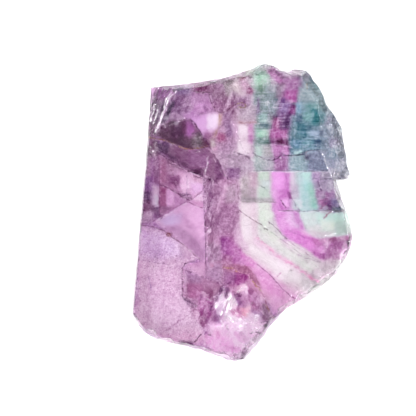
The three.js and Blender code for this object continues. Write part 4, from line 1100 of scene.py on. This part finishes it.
def flat_drawing(places):
    """Across and down of some places, with no noise."""
    return DRAWING_X + places[:, 0] / SQUARE, DRAWING_Y - places[:, 1] / SQUARE


def halve_long_edges(thing, by_lines):
    """Halves each edge that is too long for where it lies, once."""
    bpy.ops.mesh.select_mode(type="EDGE")
    bpy.ops.mesh.select_all(action="DESELECT")
    net = bmesh.from_edit_mesh(thing.data)
    ends = np.array([[e.verts[0].co, e.verts[1].co] for e in net.edges]) / MM
    up = np.array([max(f.normal.z for f in e.link_faces) for e in net.edges])
    limit = np.where(up > FRONT_RISE, FRONT_SPACING, SIDE_SPACING)
    if by_lines:
        x, y = flat_drawing(ends.mean(1))
        nearest = np.min([to_line(x, y, points) for points, colour, wide, share in LINES], axis=0)
        limit[(up > LEVEL_RISE) & (nearest < NEAR_LINE)] = LINE_SPACING
    long = np.linalg.norm(ends[:, 0] - ends[:, 1], axis=1) > limit
    for edge, chosen in zip(net.edges, long):
        if chosen:
            edge.select = True
    net.select_flush_mode()
    bmesh.update_edit_mesh(thing.data)
    bpy.ops.mesh.subdivide(number_cuts=1, ngon=False)
    bpy.ops.mesh.select_all(action="SELECT")
    bpy.ops.mesh.quads_convert_to_tris(quad_method="BEAUTY")
    bpy.ops.mesh.beautify_fill(angle_limit=SAME_FACET)
    return int(long.sum())


make_active(slab)
bpy.ops.object.mode_set(mode="EDIT")
bpy.ops.mesh.select_all(action="SELECT")
bpy.ops.mesh.beautify_fill(angle_limit=SAME_FACET)
while halve_long_edges(slab, False):
    pass
for turn in range(LINE_ROUNDS):
    if not halve_long_edges(slab, True):
        break
bpy.ops.object.mode_set(mode="OBJECT")
print("refined:", len(slab.data.vertices), "points,", len(slab.data.polygons), "faces")

# %% [markdown]
# ## Hackly breaks
# Where fluorite doesn't cleave cleanly it breaks into small steps and splinters. Two Displace
# modifiers press such a relief into the mesh, and a vertex group says how deep. They only
# press inwards, so that the slab keeps its size. The back stays flat, because it rests on it,
# and so does the left wall, because that one is a clean cleavage.


# %% Hackly breaks
def read(thing, what):
    """A vector at each point of a mesh, such as its place or its normal."""
    values = np.zeros(len(thing.data.vertices) * 3)
    thing.data.vertices.foreach_get(what, values)
    return values.reshape(-1, 3)


def press(thing, group, kind, size, deep, settings=None):
    """Presses the relief of a procedural texture into the mesh."""
    pattern = bpy.data.textures.new(kind.lower(), kind)
    pattern.noise_scale = size
    for name, value in (settings or {}).items():
        setattr(pattern, name, value)
    displace = thing.modifiers.new(kind.lower(), "DISPLACE")
    displace.texture = pattern
    displace.texture_coords = "LOCAL"
    displace.vertex_group = group
    displace.mid_level = 1.0
    displace.strength = deep
    bpy.ops.object.modifier_apply(modifier=displace.name)


LEVELS = 20
CLEAVED = 0.02
CLEAVED_WALL = 0.03
WALL_HACKLE = 0.3
FOOT_HEIGHT = 1.3
FOOT_HACKLE = 0.3
STEP_SIZE, STEP_DEPTH = 2.4 * MM, 0.40 * MM
SPLINTER_SIZE, SPLINTER_DEPTH = 0.9 * MM, 0.22 * MM

before = read(slab, "co") / MM
facing = read(slab, "normal")
rise = facing[:, 2]
hackle = np.maximum(Drawing(before).mask(HACKLE), CLEAVED)
hackle = np.where(rise > 0.6, hackle, WALL_HACKLE + 0.25 * hackle)
hackle[before[:, 2] < FOOT_HEIGHT] *= FOOT_HACKLE
hackle[rise < -0.4] = 0
hackle[facing[:, 0] < -0.9] = CLEAVED_WALL
group = slab.vertex_groups.new(name="hackle")
levels = np.round(hackle * LEVELS).astype(int)
for step in np.unique(levels):
    group.add([int(k) for k in np.flatnonzero(levels == step)], step / LEVELS, "REPLACE")
press(slab, "hackle", "VORONOI", STEP_SIZE, STEP_DEPTH, {"noise_intensity": 1.3})
press(slab, "hackle", "CLOUDS", SPLINTER_SIZE, SPLINTER_DEPTH, {"noise_depth": 2})
slab.vertex_groups.clear()
kept = np.clip(read(slab, "co"), np.array(low), np.array(high))
slab.data.vertices.foreach_set("co", kept.ravel())
slab.data.update()
print("pressed in, mm, at most:", np.linalg.norm(read(slab, "co") / MM - before, axis=1).max().round(2))

# %% [markdown]
# ## Growth layers
# The layers bend twice. Down the right side they stand upright, then they run to the lower
# right, and at the right edge they turn back up a little: three faces of the growing crystal.
# Each point is given a number that counts the layers, the smallest distance from these three
# faces, and a list of colours along that number gives the bands.


# %% Layer number
LEAN = 0.27
LEAN_START = 134
DIAGONAL = (0.567, -0.824)
DIAGONAL_START = (263.5, 244, 256)
RETURN = (-0.169, -0.986)
RETURN_START = (318, 242.5, 288)
LAYER_DIP = 0.25
DIAGONAL_BEND = 6.0
RETURN_BEND = 4.0


def soft_min(first, second, width):
    """The smaller of two values, rounded where they meet."""
    share = np.clip(0.5 + (second - first) / (2 * width), 0, 1)
    return second + (first - second) * share - width * share * (1 - share)


def slope(x, y, start, way):
    """A count that is start[2] at start and grows along way."""
    return start[2] + way[0] * (x - start[0]) + way[1] * (y - start[1])


plan = Drawing(read(slab, "co") / MM)
count = len(plan.places)
layer_x = plan.across + plan.swaying[:, 0] * 0.5 + plan.ragged[:, 0] * 0.3
layer_y = plan.down + plan.swaying[:, 1] * 0.5
upright = layer_x - LEAN * np.maximum(0, LEAN_START - plan.down) * smooth(layer_x, 262, 290)
corner = soft_min(upright, slope(layer_x, layer_y, DIAGONAL_START, DIAGONAL), DIAGONAL_BEND)
layer = soft_min(corner, slope(layer_x, layer_y, RETURN_START, RETURN), RETURN_BEND)
layer += plan.depth * LAYER_DIP
print("layers:", layer.min().round(), layer.max().round())

# %% [markdown]
# The bands have three lists of colours, because the front has two steps: one list for below the
# ledge, one for just above it, and one for the upper part. Fine light and dark layers come from
# noise along the count alone. Then every patch is laid over the bands in turn.

# %% Colours of the bands
LEDGE = 171.3
FOOT = 153
PURPLE = (178, 122, 182)
FINE_LAYERS = 0.55
FINE_CONTRAST = 0.09
UNEVEN = 0.45


def along(bands):
    """The colours of a list of bands at each point."""
    stops = [stop for stop, colour in bands]
    return np.stack([np.interp(layer, stops, [colour[k] for stop, colour in bands]) for k in range(3)], 1)


def lay(tint, share, colour):
    """Lays a colour over the others, as strongly as share says."""
    return tint + (np.asarray(colour, float) - tint) * share[:, None]


tint = np.tile(np.array(PURPLE, float), (count, 1))
tint = lay(tint, smooth(layer, 206, 214), along(LOWER_BANDS))
above_ledge = smooth(LEDGE - plan.down, -0.5, 0.5) * smooth(layer, 222, 232)
above_foot = smooth(FOOT - plan.down, -3, 3)
tint = lay(tint, above_ledge * (1 - above_foot), along(MIDDLE_BANDS))
tint = lay(tint, above_ledge * above_foot, along(UPPER_BANDS))
fine_layers = np.array([noise.noise(Vector((k, 0.3, 0.7))) for k in layer * FINE_LAYERS])
tint *= 1 + FINE_CONTRAST * (fine_layers * smooth(layer, 230, 240))[:, None]

for corners, colour, soft, share in BAND_PATCHES + PURPLE_AREAS + DETAILS:
    uneven = 1 - UNEVEN * smooth(plan.patchy, -0.1, 0.6) * min(1.0, soft / 3)
    tint = lay(tint, plan.inside(corners, soft) * share * uneven, colour)
print("usual colour:", tint.mean(0).round())

# %% [markdown]
# ## From seen colour to glass colour
# A point of the slab is seen against the floor under it, and that floor's light came in
# through the glass a few mm to the side. So what is seen is the point's own colour one and a
# half times over, times half of the colour that is usual around it. These lines work back
# from the colour that should be seen to the colour of the glass.

# %% Colours of the glass
FLOOR_LIGHT = np.array((1.30, 1.20, 1.31))
SPREAD = 5.5
BESIDE = 0.65
DEEPEST = 0.004
CELLS = (100, 120)
SPREAD_STEPS = np.arange(-16, 17)
ROUNDS = 4


def to_linear(colour):
    """From the 0 to 255 values of a screen to the linear values that shaders use."""
    part = np.clip(colour, 0, 255) / 255
    return np.where(part <= 0.04045, part / 12.92, ((part + 0.055) / 1.055) ** 2.4)


def surroundings(values, reach):
    """For each point, the usual value within about reach mm, with BESIDE around the slab."""
    column = (plan.places[:, 0] + CELLS[0] / 2).astype(int)
    row = (plan.places[:, 1] + CELLS[1] / 2).astype(int)
    total = np.zeros((*CELLS, 3))
    number = np.zeros((*CELLS, 1))
    np.add.at(total, (column, row), values)
    np.add.at(number, (column, row), 1)
    means = np.where(number > 0, total / np.maximum(number, 1), BESIDE)
    weights = np.exp(-0.5 * (SPREAD_STEPS / reach) ** 2)
    weights /= weights.sum()
    for axis in (0, 1):
        means = sum(w * np.roll(means, k, axis) for w, k in zip(weights, SPREAD_STEPS))
    return means[column, row]


seen = to_linear(tint)
glass = np.sqrt(seen)
for turn in range(ROUNDS):
    around = surroundings(np.sqrt(glass), SPREAD)
    glass = np.clip(seen / (FLOOR_LIGHT * around), DEEPEST, 1) ** (2 / 3)
print("glass, darkest and palest:", glass.min(0).round(3), glass.max(0).round(3))

# %% [markdown]
# ## Cracks and the rim
# A crack is dark where it is open, and a painted highlight runs along one side of it. Cracks start
# at the front and end a few mm down. The front's outline gets a little painted shade, because
# light leaves the stone sideways there, and so do the bevels along it. The slivers' white, which
# is painted glints, goes to the shader on its own, and so does how sheer each face is.

# %% Cracks and the rim
GLEAM = (250, 240, 250)
GLEAM_SHIFT = 1.1
GLEAM_STRENGTH = 0.45
DARK_LINE = 420
LINE_WIDTH = 0.22
LINE_STRENGTH = 0.85
GLINT_SLIVER_WIDTH = 0.25
GLINT_SLIVER_STRENGTH = 0.5
CRACK_DEPTH = 4.0
CRACK_FADE = 3.0
OUTLINE = (128, 112, 132)
OUTLINE_STRENGTH = 0.45
PALEST_MARK = 1.3
BEVEL_SHADE = 0.45
RIM_LEVEL = (7.5, 9.5)

reach = 1 - smooth(plan.depth, CRACK_DEPTH, CRACK_DEPTH + CRACK_FADE)
strength = 0.35 + 0.65 * smooth(plan.broken, -0.5, 0.3)
gleaming = smooth(-plan.broken, 0.0, 0.6) * GLEAM_STRENGTH
lined = tint.copy()
# a painted highlight beside each dark crack
for points, colour, wide, share in LINES:
    if sum(colour) < DARK_LINE:
        beside = [(x + GLEAM_SHIFT, y + GLEAM_SHIFT) for x, y in points]
        lined = lay(lined, plan.near(beside, 0.1, 0.9) * gleaming * reach, GLEAM)
for points, colour, wide, share in LINES:
    dark = plan.near(points, wide * LINE_WIDTH, 0.6) * share * LINE_STRENGTH
    lined = lay(lined, dark * strength * reach, colour)
# the slivers' painted glints, laid into the colour and kept for the shader's white film
glint_flakes = [plan.near(points, wide * GLINT_SLIVER_WIDTH, 0.55) * share for points, wide, share in GLINT_SLIVERS]
white = np.max(glint_flakes, axis=0) * reach
lined = lay(lined, white * GLINT_SLIVER_STRENGTH, GLEAM)

rise = read(slab, "normal")[:, 2]
wall_points = plan.places[(np.abs(rise) < 0.5) & (plan.depth > RIM_LEVEL[0]) & (plan.depth < RIM_LEVEL[1])]
tree = kdtree.KDTree(len(wall_points))
for k, place in enumerate(wall_points):
    tree.insert((place[0], place[1], 0), k)
tree.balance()
from_rim = np.array([tree.find((place[0], place[1], 0))[2] for place in plan.places]) / SQUARE
# painted shade along the front's outline
outline = (1 - smooth(from_rim + plan.ragged[:, 0], 0.6, 2.2)) * smooth(plan.depth, 2.0, 1.0)
lined = lay(lined, outline * OUTLINE_STRENGTH, OUTLINE)

marks = np.minimum(to_linear(lined) / np.maximum(seen, 1e-4), PALEST_MARK)
# painted shade on the bevels near the rim
bevel = smooth(rise, 0.98, 0.85) * smooth(from_rim, 9, 6) * (plan.depth < 9)
glass = np.clip(glass * marks**2 * (1 - BEVEL_SHADE * bevel[:, None]), DEEPEST, 1)
sheer = smooth(np.abs(rise), 0.55, 0.2)


def keep_colour(name, colours, fourth):
    """Stores a colour and a fourth number at each point, for the shader to read."""
    store = slab.data.attributes.new(name, "FLOAT_COLOR", "POINT")
    store.data.foreach_set("color", np.column_stack([colours, fourth]).ravel())


def keep_number(name, values):
    """Stores one number at each point."""
    slab.data.attributes.new(name, "FLOAT", "POINT").data.foreach_set("value", values)


keep_colour("growth", glass, np.ones(count))
# the slivers' painted glints go to the shader under the name frost
keep_number("frost", white)
keep_number("steep", sheer)
print("points on sheer walls:", int((sheer > 0.5).sum()), "and on slivers:", int((white > 0.5).sum()))

# %% [markdown]
# ## The grain of the stone
# Like wood, the stone has a grain. In the bands its fine lines follow the growth layers, and
# in the purple half they follow the cleavages. Each point is told how far it lies across the
# grain and along it, and the shader stretches its noise along that.

# %% The grain
ALONG_DIAGONAL = (0.824, 0.567)
ALONG_DIAGONAL_START = (263, 244, 0)
UPRIGHT_UNTIL = 215
PURPLE_UNTIL = 212
PURPLE_GRAIN = 76
GRAIN = [
    ([(120, 60), (262, 60), (256, 118), (222, 122), (190, 118), (162, 124), (120, 140)], 64),
    ([(120, 130), (157, 130), (158, 226), (120, 226)], 88),
    ([(156, 133), (208, 133), (230, 180), (204, 178), (157, 150)], 152),
    ([(157, 152), (204, 177), (204, 194), (189, 200), (157, 184)], 118),
    ([(158, 184), (190, 199), (154, 221)], 84),
    ([(154, 221), (203, 192), (206, 265)], 48),
    ([(204, 174), (241, 180), (241, 240), (222, 264), (206, 264)], 74),
    ([(182, 266), (223, 284), (214, 300), (188, 302)], 146),
    ([(196, 297), (224, 284), (240, 300), (226, 330), (200, 336)], 58),
    ([(236, 284), (252, 278), (274, 322), (250, 362), (226, 334), (240, 310)], 132),
    ([(120, 222), (163, 230), (200, 259), (184, 266), (184, 300), (196, 340), (120, 340)], 80),
]


def turned(angle):
    """How far each point lies across and along a grain at that angle, in squares."""
    turn = math.radians(angle)
    x, y = plan.across, -plan.down
    return np.stack([y * math.cos(turn) - x * math.sin(turn), x * math.cos(turn) + y * math.sin(turn)], 1)


along_layers = slope(plan.across, plan.down, ALONG_DIAGONAL_START, ALONG_DIAGONAL)
along_layers = np.where(plan.down < UPRIGHT_UNTIL, -plan.down, along_layers)
way = np.where((layer < PURPLE_UNTIL)[:, None], turned(PURPLE_GRAIN), np.stack([layer, along_layers], 1))
for corners, angle in GRAIN:
    chosen = is_within(plan.x, plan.y, corners)
    way[chosen] = turned(angle)[chosen]
fibre = np.concatenate([way * SQUARE, plan.depth[:, None]], 1)
store = slab.data.attributes.new("fibre", "FLOAT_VECTOR", "POINT")
store.data.foreach_set("vector", fibre.ravel())
kinds = [plan.mask(areas) for areas in (STROKES, SHARDS, SPECKS)]
keep_colour("kinds", np.column_stack(kinds), plan.mask(CLEAR))
print("areas with a grain of their own:", len(GRAIN))

# %% [markdown]
# ## The crystal
# Clear stone is see-through. Its colour is the growth colour of the mesh, made denser or paler
# by noise, as pigment is: a Gamma node raises a colour to a power, which is what twice the
# pigment does to it. Level strokes, shards and specks come in where their areas say. Most of
# the noise is stretched through the stone, so that its patches run down the walls.

# %% What the mesh says
IOR = 1.434
THROUGH = 0.3
STRETCHED = (1, 1, THROUGH)

fluorite = bpy.data.materials.new("banded_fluorite")
crystal = Graph(fluorite)
where = crystal.node("ShaderNodeTexCoord", output=3)


def attribute(name, output):
    """What the mesh stores at its points under a name."""
    return crystal.node("ShaderNodeAttribute", {"attribute_name": name}, output=output)


def part_of(colour, part):
    """The red, green or blue part of a colour."""
    return crystal.node("ShaderNodeSeparateColor", None, {0: colour}, output=part)


growth = attribute("growth", 0)
kind_colour = attribute("kinds", 0)
strokes, shards, specks = (part_of(kind_colour, part) for part in range(3))
clear = attribute("kinds", 3)
frosted_glints = attribute("frost", 2)
steep = attribute("steep", 2)
along_grain = attribute("fibre", 1)
print("nodes:", len(crystal.tree.nodes))

# %% Noise in the stone
cloud = crystal.noise(where, 3.2 * MM, 4, stretch=STRETCHED)
grain = crystal.noise(where, 0.9 * MM, 3, 0.6, stretch=STRETCHED)
crumbs = crystal.noise(where, 0.4 * MM, 2, 0.6, stretch=STRETCHED)
level = crystal.noise(where, 1.3 * MM, 3, 0.5, stretch=(0.26, 2.2, 0.2))
fibres = crystal.noise(along_grain, 1.0, 3, 0.6, stretch=(1.5, 0.16, 0.05))
hairs = crystal.noise(along_grain, 1.0, 2, 0.5, stretch=(2.6, 0.3, 0.05))
wavering = crystal.noise(where, 2.5 * MM, 2, output=1)
bent = crystal.node(
    "ShaderNodeVectorMath", {"operation": "MULTIPLY_ADD"}, {0: wavering, 1: (1.6 * MM,) * 3, 2: where}
)


def cells(size, output, feature="F1", stretch=STRETCHED):
    """Random many-sided cells about size metres across."""
    scale = [side / size for side in stretch]
    mapped = crystal.node("ShaderNodeMapping", None, {"Vector": bent, "Scale": scale})
    values = {"Vector": mapped, "Scale": 1.0}
    return crystal.node("ShaderNodeTexVoronoi", {"feature": feature}, values, output)


def dots(size):
    """How far it is to the nearest of some scattered points, in sizes."""
    return crystal.node("ShaderNodeTexVoronoi", {"feature": "F1"}, {"Vector": where, "Scale": 1 / size})


shard_tone = part_of(cells(1.5 * MM, 1, stretch=(1, 0.6, THROUGH)), 0)
big_tone = part_of(cells(4.5 * MM, 1), 1)
print("nodes:", len(crystal.tree.nodes))

# %% Density of the colour
LEAST_DENSITY = 0.15
MARK_COLOUR = (0.30, 0.12, 0.26, 1)

rough = (1 - clear * 0.7) * (1 - steep * 0.9)
density = (
    1.08
    + (cloud - 0.5) * 1.2
    + (grain - 0.5) * rough * (1 - strokes * 0.4) * 2.6
    + (crumbs - 0.5) * rough * (specks + 1) * 2.0
    + (fibres - 0.5) * rough * (shards * 1.6 + 1.3)
    + (level - 0.5) * strokes * (cloud.ramp(0.4, 0.6) * 3.0 + 1.0)
    + (shard_tone - 0.5) * shards * 1.6
    + (big_tone - 0.5) * 0.25
)
pigment = crystal.node("ShaderNodeGamma", None, {0: growth, 1: density.math("MAXIMUM", LEAST_DENSITY)})
gap = cells(6.5 * MM, 0, "DISTANCE_TO_EDGE")
hairline = (1 - gap.ramp(0.0, 0.02)) * cloud.ramp(0.45, 0.6)
bubble = (1 - dots(1.1 * MM).ramp(0.10, 0.20)) * (specks * 0.8 + 0.12)
scratch = hairs.ramp(0.66, 0.72) * cloud.ramp(0.4, 0.55) * rough
darker = (hairline * 0.3 + bubble * 0.8 + scratch * 0.25).math("MINIMUM", 0.85)
marked = crystal.mix(darker, pigment, MARK_COLOUR, "MULTIPLY")
print("nodes:", len(crystal.tree.nodes))

# %% [markdown]
# The surface has three looks, mixed with Mix Shader nodes. Most of it is clear glass. Slivers
# and glint dots get an airy, thin white film, as painted glints. Sheer walls are partly waxy:
# broken fluorite is too rough to look through, so a wall shows the stone's own colour. A pale
# purple absorption fills the body, so thick stone is deeper in colour than thin stone.

# %% The surface and the body
TRANSMISSION = 0.94
GLINT_WHITE = (0.78, 0.74, 0.79, 1)
MOST_GLINT_WHITE = 0.7
MOST_WAXY = 0.6
BODY_COLOUR = (0.63, 0.24, 0.66, 1)
BODY_DENSITY = 10.0

# painted glints: dots in shards and specks, and the slivers, get the white film
glint = (1 - dots(1.7 * MM).ramp(0.05, 0.13)) * (shards * 0.5 + specks * 0.3)
glint_film = frosted_glints * hairs.ramp(0.38, 0.56) * grain.ramp(0.25, 0.45) + glint * 0.6
dull = crystal.noise(where, 0.8 * MM, 3, 0.6).ramp(0.3, 0.8)
relief = crystal.noise(where, 1.1 * MM, 4)
bump = crystal.node("ShaderNodeBump", None, {"Height": relief, "Strength": 0.25, "Distance": 0.4 * MM})
wall_tone = crystal.noise(where, 2.4 * MM, 5, 0.6, stretch=(1, 1, 1.4))
wall_density = ((wall_tone - 0.5) * 2.6 + (shard_tone - 0.5) * 0.8 + 1.5).math("MAXIMUM", 0.4)
wall_pigment = crystal.node("ShaderNodeGamma", None, {0: growth, 1: wall_density})


def surface(colour, roughness, transmission=0.0):
    """A Principled surface of fluorite, with the relief of its breaks."""
    return crystal.node("ShaderNodeBsdfPrincipled", None, {
        "Base Color": colour, "Roughness": roughness, "IOR": IOR,
        "Transmission Weight": transmission, "Normal": bump,
    })


def mix_looks(share, first, second):
    """The first surface where share is 0, and the second where it is 1."""
    return crystal.node("ShaderNodeMixShader", None, {0: share, 1: first, 2: second})


glassy = surface(marked, dull * (0.1 + shards * 0.15) + 0.05, TRANSMISSION)
stone = mix_looks(glint_film.math("MINIMUM", MOST_GLINT_WHITE), glassy, surface(GLINT_WHITE, 0.5))
stone = mix_looks(steep * MOST_WAXY, stone, surface(wall_pigment, 0.4))
body = crystal.node("ShaderNodeVolumeAbsorption", None, {"Color": BODY_COLOUR, "Density": BODY_DENSITY})
crystal.node("ShaderNodeOutputMaterial", None, {"Surface": stone, "Volume": body})
slab.data.materials.append(fluorite)
print("nodes:", len(crystal.tree.nodes), "links:", len(crystal.tree.links))

# %% [markdown]
# Facets that meet at a sharp angle keep a crisp edge, and the rest is shaded smooth. Then the
# slab takes the CAD solid's place, and its size is printed.

# %% Riding on the model
SHARP = math.radians(18)

make_active(slab)
bpy.ops.object.shade_smooth_by_angle(angle=SHARP)
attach(slab, "root")
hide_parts("fluorite_slab")
print("slab with its relief, mm:", [round(side / MM, 1) for side in slab.dimensions])
